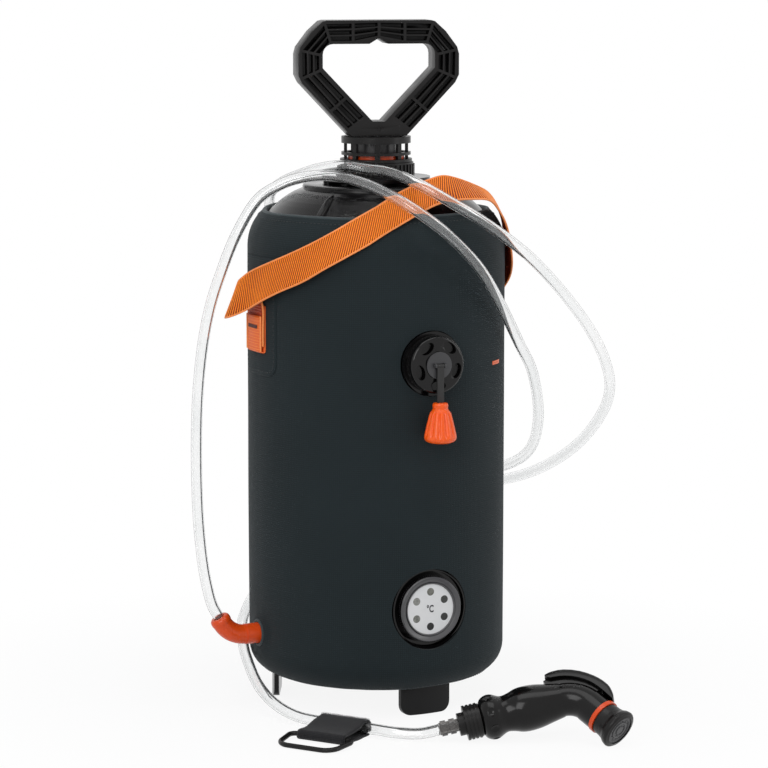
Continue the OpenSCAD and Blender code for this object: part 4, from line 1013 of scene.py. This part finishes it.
strap_ribs = webbing_yarn("strap_ribs", rib_lines[1], rib_radius, rib_yarn)
strap_back_ribs = webbing_yarn("strap_back_ribs", rib_lines[-1], rib_radius, back_rib_shadow)
strap_edges = webbing_yarn("strap_edges", edge_lines, 0.85, selvedge_highlight_yarn)

# %% [markdown]
# ## The two tabs
# Each end of the strap is sewn into a folded tab of a closer webbing. The back layer lies on
# the patch and the front one, a little narrower, is folded up over the strap's end. A bar
# tack, two dozen short stitches side by side in dark thread, locks it.

# %% Tabs
tab_low = 279 * mm
tab_back_top = 315 * mm
tab_front_top = 307 * mm
tab_gap_radius = 101.3 * mm
tab_front_radius = 103.9 * mm
tab_wall = 1.0 * mm
tab_back_half = 15
tab_front_half = 13.3


def add_tab(side, sign):
    """A folded tab: up the back layer's line first, then out and up the front."""
    fold = (tab_front_radius - tab_gap_radius) / 2
    profile = [(tab_gap_radius, tab_back_top - k * (tab_back_top - tab_low - fold) / 12,
                tab_back_half) for k in range(13)]
    for step in range(1, 8):
        angle = math.pi * (1 + step / 8)
        profile.append((tab_gap_radius + fold + fold * math.cos(angle),
                        tab_low + fold + fold * math.sin(angle),
                        tab_back_half + (tab_front_half - tab_back_half) * step / 8))
    profile += [(tab_front_radius, tab_low + fold + k * (tab_front_top - tab_low - fold) / 10,
                 tab_front_half) for k in range(11)]
    tab_rows, cloth, gone = [], [], 0.0
    for i, (radius, height, half) in enumerate(profile):
        if i:
            gone += math.hypot(radius - profile[i - 1][0], height - profile[i - 1][1])
        row, row_cloth = [], []
        for k in range(9):
            across = half * mm * (k / 4 - 1)
            angle = sign * tab_bearing + across / radius
            row.append(Vector((radius * math.sin(angle), -radius * math.cos(angle), height)))
            row_cloth.append((across, gone))
        tab_rows.append(row)
        cloth.append(row_cloth)
    tab = add_object(f"tab_{side}", grid_mesh(f"tab_{side}", tab_rows, cloth))
    thicken(tab, tab_wall)
    hand_in(bake(tab), tab_webbing, "tank", f"strap_tab_{side}")
    return tab, gone


def tab_point(sign, across, height, lift=0.0):
    """A point on a tab's front layer."""
    radius = tab_front_radius + tab_wall / 2 + lift
    angle = sign * tab_bearing + across / radius
    return Vector((radius * math.sin(angle), -radius * math.cos(angle), height))


tack_low, tack_high = 297.2 * mm, 299.8 * mm
for side, sign in both_sides:
    tab, tab_flat = add_tab(side, sign)
    ribs = [[tab_point(sign, (13 * k / 4 - 13) * mm, tab_low + 2 * mm + n * rib_pitch, -0.2 * mm)
             for k in range(9)] for n in range(12)]
    tack = [[tab_point(sign, (0.65 * n - 8) * mm, height, 0.35 * mm)
             for height in (tack_low, tack_high)] for n in range(25)]
    edges = [[tab_point(sign, edge * 13.1 * mm, tab_low + 1 * mm + k * 2.7 * mm, -0.1 * mm)
              for k in range(11)] for edge in (-1, 1)]
    tab_ribs = webbing_yarn(f"tab_ribs_{side}", ribs, 0.28, rib_yarn)
    tab_tack = webbing_yarn(f"bar_tack_{side}", tack, 0.36, tack_thread)
    tab_edges = webbing_yarn(f"tab_edges_{side}", edges, 0.8, selvedge_highlight_yarn)

# %% [markdown]
# ## The bell pull
# The release pull is a soft bell with twelve flutes that a wet hand can grip. Its outline is
# turned about the axis, and the flutes are pressed into it by a cosine, so they fade out
# towards the smooth collar above and the round foot below.

# %% Bell pull
pull_low, pull_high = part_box("release_pull")
pull_middle = (pull_low + pull_high) / 2
pull_flutes = 12
PULL_OUTLINE = [(0.4, 0), (4.4, 0), (5.5, -0.5), (5.9, -1.6), (5.9, -3.2), (5.7, -4.4), (6.6, -5.8),
                (8.2, -8.3), (9.4, -12.6), (10.5, -17), (11.5, -21.4), (12.2, -24.6),
                (12.3, -26.6), (11.5, -28.4), (9.6, -29.8), (6.4, -30.6), (3, -30.9),
                (0.4, -31)]
outline = smooth_line([Vector((r, 0, z)) * mm for r, z in PULL_OUTLINE], 4)
pull_columns = pull_flutes * 12
rows = []
for point in outline:
    fade = max(0.0, min(1.0, (-point.z - 5.5 * mm) / (2.5 * mm),
                        (point.z + 27 * mm) / (4 * mm)))
    row = []
    for k in range(pull_columns):
        angle = math.tau * k / pull_columns
        groove = (0.5 + 0.5 * math.cos(pull_flutes * angle)) ** 3
        radius = point.x - 1.25 * mm * fade * groove
        row.append(Vector((pull_middle.x + radius * math.cos(angle),
                           pull_middle.y + radius * math.sin(angle), pull_high.z + point.z)))
    rows.append(row)
bell_pull = hand_in(add_object("bell_pull", closed_tube("bell_pull", rows)), soft_orange,
                    "pull", "release_pull")
print("bell pull:", len(bell_pull.data.polygons), "faces")

# %% [markdown]
# ## The thermometer's printing
# The dial's six spots take the place of the frame's plain ones, each in its own shade. The
# unit mark is text, turned into mesh and then set upright on the dial. A thin rim and a
# satin ring on the bezel's raised boss frame it.

# %% Spots and unit mark
spot_low, spot_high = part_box("gauge_dots")
spot_ring = 13.6 * mm
spot_radius = 3.45 * mm
spots_mesh = bpy.data.meshes.new("heat_spots")
shape = bmesh.new()
for n, angle in enumerate(sorted(spot_materials)):
    spots_mesh.materials.append(spot_materials[angle])
    middle = Vector((spot_ring * math.cos(math.radians(angle)), spot_low.y,
                     gauge_height + spot_ring * math.sin(math.radians(angle))))
    profile = [(spot_radius, 0.9), (spot_radius * 0.93, 0.98), (spot_radius * 0.5, 1.03)]
    rings = []
    for radius, share in [(spot_radius, 0.1)] + profile:
        depth = (spot_high.y - spot_low.y) * (1 - share) - 0.15 * mm
        rings.append([shape.verts.new(middle + Vector((across, depth, up)))
                      for across, up in circle(36, radius)])
    for lower, upper in zip(rings, rings[1:]):
        for k in range(36):
            face = shape.faces.new((lower[k], lower[(k + 1) % 36], upper[(k + 1) % 36],
                                    upper[k]))
            face.material_index = n
    for ring in (rings[0][::-1], rings[-1]):
        shape.faces.new(ring).material_index = n
bmesh.ops.recalc_face_normals(shape, faces=shape.faces)
shape.to_mesh(spots_mesh)
shape.free()
heat_spots = add_object("heat_spots", soft_shading(spots_mesh, 35))
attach(heat_spots, "tank")
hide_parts("gauge_dots")

lettering = bpy.data.curves.new("unit_mark", "FONT")
lettering.body = "°C"
lettering.size = 7.6 * mm
lettering.offset = 0.2 * mm
lettering.align_x = "CENTER"
lettering.align_y = "CENTER"
lettering.extrude = 0.06 * mm
unit_mark = bpy.data.objects.new("unit_mark_text", lettering)
bpy.context.scene.collection.objects.link(unit_mark)
graph = bpy.context.evaluated_depsgraph_get()
mark_mesh = bpy.data.meshes.new_from_object(unit_mark.evaluated_get(graph))
bpy.data.objects.remove(unit_mark)
dial_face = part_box("gauge_dial")[0].y
narrow = Matrix.Diagonal((0.72, 1, 1, 1))
mark_mesh.transform(to_front(dial_face - 0.04 * mm, gauge_height)
                    @ Matrix.Translation((-0.3 * mm, 0, 0)) @ narrow)
hand_in(add_object("unit_mark", mark_mesh), printing_ink, "tank")

# Each pair is a radius and how far it stands out to the front. The rim is smooth all round.
RIM_OUTLINE = ((20.6, 0), (20.6, 0.9), (20.2, 1.1), (19.7, 0.8), (19.4, 0))
RING_OUTLINE = ((20.7, -1.4), (21.5, -0.5), (24.6, 0.15), (25.3, -0.5), (25.75, -3),
                (25.95, -7.2), (25.0, -7.2), (25.0, -3), (21.5, -2.5))
bezel_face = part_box("gauge_bezel")[0].y
for name, outline, crease_degrees, face in (("dial_rim", RIM_OUTLINE, 180, dial_face),
                                            ("bezel_ring", RING_OUTLINE, 50, bezel_face)):
    ring = lathed(name, outline, 96, crease_degrees, to_front(face, gauge_height))
    hand_in(ring, turned_grey, "tank")
print("dial printed")

# %% [markdown]
# ## The hose wrap
# A strip of hook-and-loop tape closes round the hose and holds a flat plastic ring in its
# fold. Seen from its end it runs like a belt round two wheels: round the hose, down to the
# ring's bar, round that and back along the ground. That line is swept 40 mm along the hose.
# Hooks stand out of the tape as short hairs, which a third small tree scatters by a fixed
# seed.

# %% Wrap
wrap_middle = Vector((-78, -111, 6.6)) * mm
wrap_turn = Matrix.Translation(wrap_middle) @ Matrix.Rotation(math.radians(-55), 4, "Z")
wrap_width = 40 * mm
tape_thickness = 1.7 * mm
hose_loop = 5.4
fold_middle = (-32, -2.35)
fold_loop = 3.05


def round_points(middle, radius, start, end, count):
    """Points round a circle in the wrap's end view, in millimetres."""
    return [(middle[0] + radius * math.cos(math.radians(start + (end - start) * k / count)),
             middle[1] + radius * math.sin(math.radians(start + (end - start) * k / count)))
            for k in range(count + 1)]


tape_line = (round_points((0, 0), hose_loop, -90, 105, 20)
             + [(-6, 4.3), (-10, 3.3), (-14, 2.3), (-18, 1.5), (-22, 0.9), (-26, 0.6)]
             + round_points(fold_middle, fold_loop, 80, 270, 12)
             + [(-27.5 + 4.5 * k, -5.4) for k in range(6)])
rows, cloth_rows, gone = [], [], 0.0
for i, (y, z) in enumerate(tape_line):
    if i:
        gone += math.hypot(y - tape_line[i - 1][0], z - tape_line[i - 1][1]) * mm
    shares = [k / 16 - 0.5 for k in range(17)]
    waver = 0.5 * math.sin(gone * 260)
    rows.append([wrap_turn @ (Vector((wrap_width * s / mm + waver * (2 * s) ** 3, y, z)) * mm)
                 for s in shares])
    cloth_rows.append([(wrap_width * s, gone) for s in shares])
tape_wrap = add_object("tape_wrap", point_outwards(grid_mesh("tape_wrap", rows, cloth_rows,
                                                             round_rows=True)))
thicken(tape_wrap, tape_thickness)
hand_in(bake(tape_wrap), hook_tape, "tank", "hose_wrap")

hair_tree, given, hair_inputs = new_tree("tape_hairs", {
    "Pitch": "NodeSocketFloat", "Hair Length": "NodeSocketFloat",
    "Seed": "NodeSocketInt", "Material": "NodeSocketMaterial"})
roots = add_node(hair_tree, "GeometryNodeMeshToCurve", {"Mesh": given.outputs["Geometry"]})
root_points = add_node(hair_tree, "GeometryNodeResampleCurve", {
    "Curve": roots.outputs[0], "Length": given.outputs["Pitch"]}, mode="LENGTH")
hair = add_node(hair_tree, "GeometryNodeMeshCone", {
    "Vertices": 4, "Radius Top": 0.05 * mm, "Radius Bottom": 0.13 * mm,
    "Depth": given.outputs["Hair Length"]})
lean = add_node(hair_tree, "FunctionNodeRandomValue", {
    "Min": (-0.7, -0.7, -3.0), "Max": (0.7, 0.7, 3.0), "Seed": given.outputs["Seed"]},
    data_type="FLOAT_VECTOR")
hairs = add_node(hair_tree, "GeometryNodeInstanceOnPoints", {
    "Points": root_points.outputs[0], "Instance": hair.outputs["Mesh"],
    "Rotation": lean.outputs[0]})
close_tree(hair_tree, hairs.outputs[0], given.outputs["Material"])
hair_lines = []
for y, z in round_points((0, 0), hose_loop + 0.8, 35, 110, 8):
    hair_lines.append([wrap_turn @ (Vector((x, y, z)) * mm) for x in (-19.5, 19.5)])
tape_hairs = grow("tape_hairs", hair_tree, hair_inputs, hair_lines, "tank", "tape_black",
                  Pitch=0.9 * mm, Hair_Length=1.5 * mm, Seed=4, Material=hook_hair)
print("tape length", round(gone * 1000), "mm")

# %% [markdown]
# ## The trigger lever
# The lever is a thin saddle over the bend of the handset: a top that follows the bend, two
# skirts beside the spring, a round nose and a tail that clears the grip when pressed. Its
# section is an upside-down U. The list gives, for each place along the bend, the height of
# the top, of its underside and of the skirts above the centre of the bend.

# %% Lever
handset_frame = (Matrix.Translation(Vector((-9.8, -166.6, 12)) * mm)
                 @ Matrix.Rotation(math.radians(-20), 4, "Z")
                 @ Matrix.Rotation(math.radians(-12.5), 4, "Y")
                 @ Matrix.Rotation(math.radians(-50), 4, "X"))
bend_middle = Vector((79.298, 0, -22))
head_angle = 30
LEVER_STATIONS = [
    (100.5, 0, 42, 41.7, 41.2), (100, 0, 42.9, 42.1, 40.4), (98.5, 0, 43.5, 42.5, 39.4),
    (96, 0, 44.1, 42.8, 38.2), (92, 0, 44.4, 43, 37.9), (86, 0, 44.5, 43, 37.6),
    (80, 0, 44.3, 42.9, 37.3), (72, 0, 43.8, 42.5, 36.8), (64, 0, 43.3, 42.1, 36.3),
    (56, 0, 42.8, 41.6, 35.9), (48, 0, 42.5, 41.3, 35.5), (42, 0, 42.3, 41.1, 35.2),
    (36, 0, 42.1, 41, 35), (30, 0, 41.8, 40.8, 34.9), (30, 3, 41.2, 40.3, 34.8),
    (30, 6, 40, 39.2, 34.7), (30, 9, 38.3, 37.5, 34.6), (30, 11, 36.7, 36.1, 34.5),
    (30, 12, 35.4, 35, 34.4)]
lever_half = 9.5
lever_crown = 0.35
lever_corner = 2.8
inner_slope = 0.8
skirt_wall = 2.3


def lever_section(top, under, skirt):
    """Half of the upside-down U from the middle of the top outwards, as (across, up)."""
    edge = min(lever_corner, 0.6 * (top - skirt))
    outer = [(0, top + lever_crown), (lever_half - edge, top)]
    outer += [(lever_half - edge + edge * math.sin(math.radians(a)),
               top - edge + edge * math.cos(math.radians(a))) for a in (30, 60, 90)]
    outer.append((lever_half, skirt))
    inside = lever_half - skirt_wall
    return outer, [(inside, skirt), (inside, max(under - inner_slope, skirt + 0.05)),
                   (inside - inner_slope, under), (0, under)]


rows = []
for angle, ahead, top, under, skirt in LEVER_STATIONS:
    outer, inner = lever_section(top, under, skirt)
    half = outer + inner
    ring = half + [(-across, up) for across, up in reversed(half[1:-1])]
    out = Vector((math.cos(math.radians(angle)), 0, math.sin(math.radians(angle))))
    on = Vector((math.sin(math.radians(head_angle)), 0, -math.cos(math.radians(head_angle))))
    rows.append([handset_frame @ ((bend_middle + out * up + on * ahead
                                   + Vector((0, across, 0))) * mm) for across, up in ring])
lever_mesh = closed_tube("trigger_lever", rows)
trigger_lever = hand_in(add_object("trigger_lever", soft_shading(lever_mesh, 38)), grip_abs,
                        "lever", "handset_lever")
print("lever:", len(lever_mesh.polygons), "faces")

# %% [markdown]
# ## Rounded edges on the big mouldings
# A mould never gives a knife edge. The handle and the valve cap are seen close, and it is
# their edges that catch the light, so each is copied, its loose triangles are merged into
# whole faces, and a small bevel rounds every edge. The handset's body is round by itself, so
# its copy is only merged and shaded smooth.

# %% Rounded copies
def merged_copy(node, name, join_flat):
    """A copy of a frame node with its double points merged, and its flat faces if asked."""
    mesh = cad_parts[node].data.copy()
    shape = bmesh.new()
    shape.from_mesh(mesh)
    bmesh.ops.remove_doubles(shape, verts=shape.verts, dist=0.002 * mm)
    if join_flat:
        bmesh.ops.dissolve_limit(shape, angle_limit=math.radians(0.6), verts=shape.verts,
                                 edges=shape.edges)
    shape.to_mesh(mesh)
    shape.free()
    return add_object(name, mesh)


def round_edges(node, body, width, material):
    """Replaces a frame node by a copy of it with rounded edges."""
    piece = merged_copy(node, node + "_rounded", join_flat=True)
    rounding = piece.modifiers.new("rounding", "BEVEL")
    rounding.width = width
    rounding.segments = 2
    rounding.limit_method = "ANGLE"
    rounding.angle_limit = math.radians(28)
    rounding.use_clamp_overlap = True
    bake(piece)
    soft_shading(piece.data, 50)
    print(node, "rounded:", len(piece.data.polygons), "faces")
    return hand_in(piece, material, body, node)


body_smooth = merged_copy("handset_body", "handset_body_smooth", join_flat=False)
soft_shading(body_smooth.data, 32)
hand_in(body_smooth, grip_abs, "tank", "handset_body")
round_edges("pump_handle", "handle", 0.55 * mm, satin_polypropylene)
round_edges("valve_cap", "valve_cap", 0.5 * mm, gloss_abs)

# %% [markdown]
# ## Finishes of the frame's own nodes
# Everything else keeps its shape from the frame and only changes its material. The table
# says which finish each has, by what the piece is made of on the real object.

# %% Dress the frame
FINISHES = {
    blown_polyethylene: ["tank"],
    satin_polypropylene: ["pump_collar", "pump_cage", "handset_nut", "nozzle_head",
                          "hanging_ring", "handle_pin", "lever_pin"],
    gloss_abs: ["valve_body", "gauge_bezel"],
    grey_abs: ["pump_gland", "barrel_foot", "piston", "valve_button", "nozzle_face"],
    orange_polypropylene: ["guide_ring", "outlet_elbow", "accent_ring"],
    natural_polyethylene: ["pump_barrel"],
    dial_abs: ["gauge_dial"],
    nitrile_rubber: ["neck_seal", "piston_seal", "valve_gasket", "valve_seal", "pull_strap",
                     "gauge_seal", "outlet_gasket", "nozzle_seal"],
    silicone_red: ["check_valve", "trigger_seal"],
    drawn_aluminium: ["pump_rod"],
    bright_steel: ["valve_spring", "valve_stem", "pull_pin", "trigger_stem",
                   "trigger_spring"],
    turned_brass: ["valve_nut", "gauge_nut", "outlet_nut"],
    smoky_pvc: ["hose_tail"]}
for material, nodes in FINISHES.items():
    for node in nodes:
        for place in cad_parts[node].material_slots:
            place.material = material
print("dressed", sum(len(nodes) for nodes in FINISHES.values()), "frame nodes")

# %% [markdown]
# ## The hose's path
# The hose leaves the elbow, passes through the wrap and ends in the smoky fitting of the
# handset.

# %% [markdown]
# ## Studio
# A catalogue picture: white all round, one broad soft lamp from the left and above, a weaker
# one from the right, and a strip overhead for the gloss on the mouldings. The world is plain
# white to the camera and to glass and gloss, and a modest grey as a light. The floor turns
# to the same white away from the object but keeps its soft shadow close by.

# %% Lamps and world
def add_lamp(name, place, target, size, power):
    """A soft rectangular lamp that points at the target."""
    data = bpy.data.lights.new(name, "AREA")
    data.shape = "RECTANGLE"
    data.size, data.size_y = size
    data.energy = power
    lamp = bpy.data.objects.new(name, data)
    lamp.location = place
    lamp.rotation_mode = "QUATERNION"
    lamp.rotation_quaternion = (Vector(target) - Vector(place)).to_track_quat("-Z", "Y")
    bpy.context.scene.collection.objects.link(lamp)
    return lamp


add_lamp("key_left", (-1.9, -1.7, 1.5), (0, 0, 0.25), (1.3, 1.6), 26)
add_lamp("fill_right", (1.7, -1.5, 0.9), (0, 0, 0.25), (0.7, 1.4), 8)
add_lamp("strip_top", (-0.2, -0.4, 1.9), (0, 0, 0.3), (1.6, 0.9), 9)

world = bpy.data.worlds.new("studio")
bpy.context.scene.world = world
world.use_nodes = True
sky = world.node_tree
sky.nodes.clear()


def seen_share(tree):
    """1 for camera, gloss and transmission rays, and 0 for the rest."""
    rays = add_node(tree, "ShaderNodeLightPath")
    first = add_node(tree, "ShaderNodeMath", {
        0: rays.outputs["Is Camera Ray"], 1: rays.outputs["Is Glossy Ray"]},
        operation="MAXIMUM")
    return add_node(tree, "ShaderNodeMath", {
        0: first.outputs[0], 1: rays.outputs["Is Transmission Ray"]},
        operation="MAXIMUM").outputs[0]


light_side = add_node(sky, "ShaderNodeBackground", {"Color": linear("f4f6fa"), "Strength": 0.5})
seen_side = add_node(sky, "ShaderNodeBackground", {"Color": (1, 1, 1, 1), "Strength": 1.0})
mixed_sky = add_node(sky, "ShaderNodeMixShader", {
    0: seen_share(sky), 1: light_side.outputs[0], 2: seen_side.outputs[0]})
add_node(sky, "ShaderNodeOutputWorld", {"Surface": mixed_sky.outputs[0]})
bpy.context.scene.view_settings.view_transform = "Standard"
print("lamps and world set")

# %% Floor
floor_half = 40.0
floor_mesh = bpy.data.meshes.new("studio_floor")
floor_mesh.from_pydata([(-floor_half, -floor_half, 0), (floor_half, -floor_half, 0),
                        (floor_half, floor_half, 0), (-floor_half, floor_half, 0)],
                       [], [(0, 1, 2, 3)])
studio_floor = add_object("studio_floor", floor_mesh)
floor_paper = bpy.data.materials.new("white_paper_sweep")
floor_paper.use_nodes = True
paper = floor_paper.node_tree
paper.nodes.clear()
matt = add_node(paper, "ShaderNodeBsdfDiffuse", {"Color": linear("f2f2f2")})
glow = add_node(paper, "ShaderNodeEmission", {"Color": (1, 1, 1, 1), "Strength": 1.0})
where = add_node(paper, "ShaderNodeTexCoord")
away = add_node(paper, "ShaderNodeVectorMath", {0: where.outputs["Object"]},
                operation="LENGTH")
whiter = add_node(paper, "ShaderNodeMapRange", {
    "Value": away.outputs["Value"], "From Min": 0.15, "From Max": 0.45, "To Min": 0.9,
    "To Max": 1.0})
share = add_node(paper, "ShaderNodeMath", {0: seen_share(paper), 1: whiter.outputs["Result"]},
                 operation="MULTIPLY")
floor_mix = add_node(paper, "ShaderNodeMixShader", {
    0: share.outputs[0], 1: matt.outputs[0], 2: glow.outputs[0]})
add_node(paper, "ShaderNodeOutputMaterial", {"Surface": floor_mix.outputs[0]})
floor_mesh.materials.append(floor_paper)
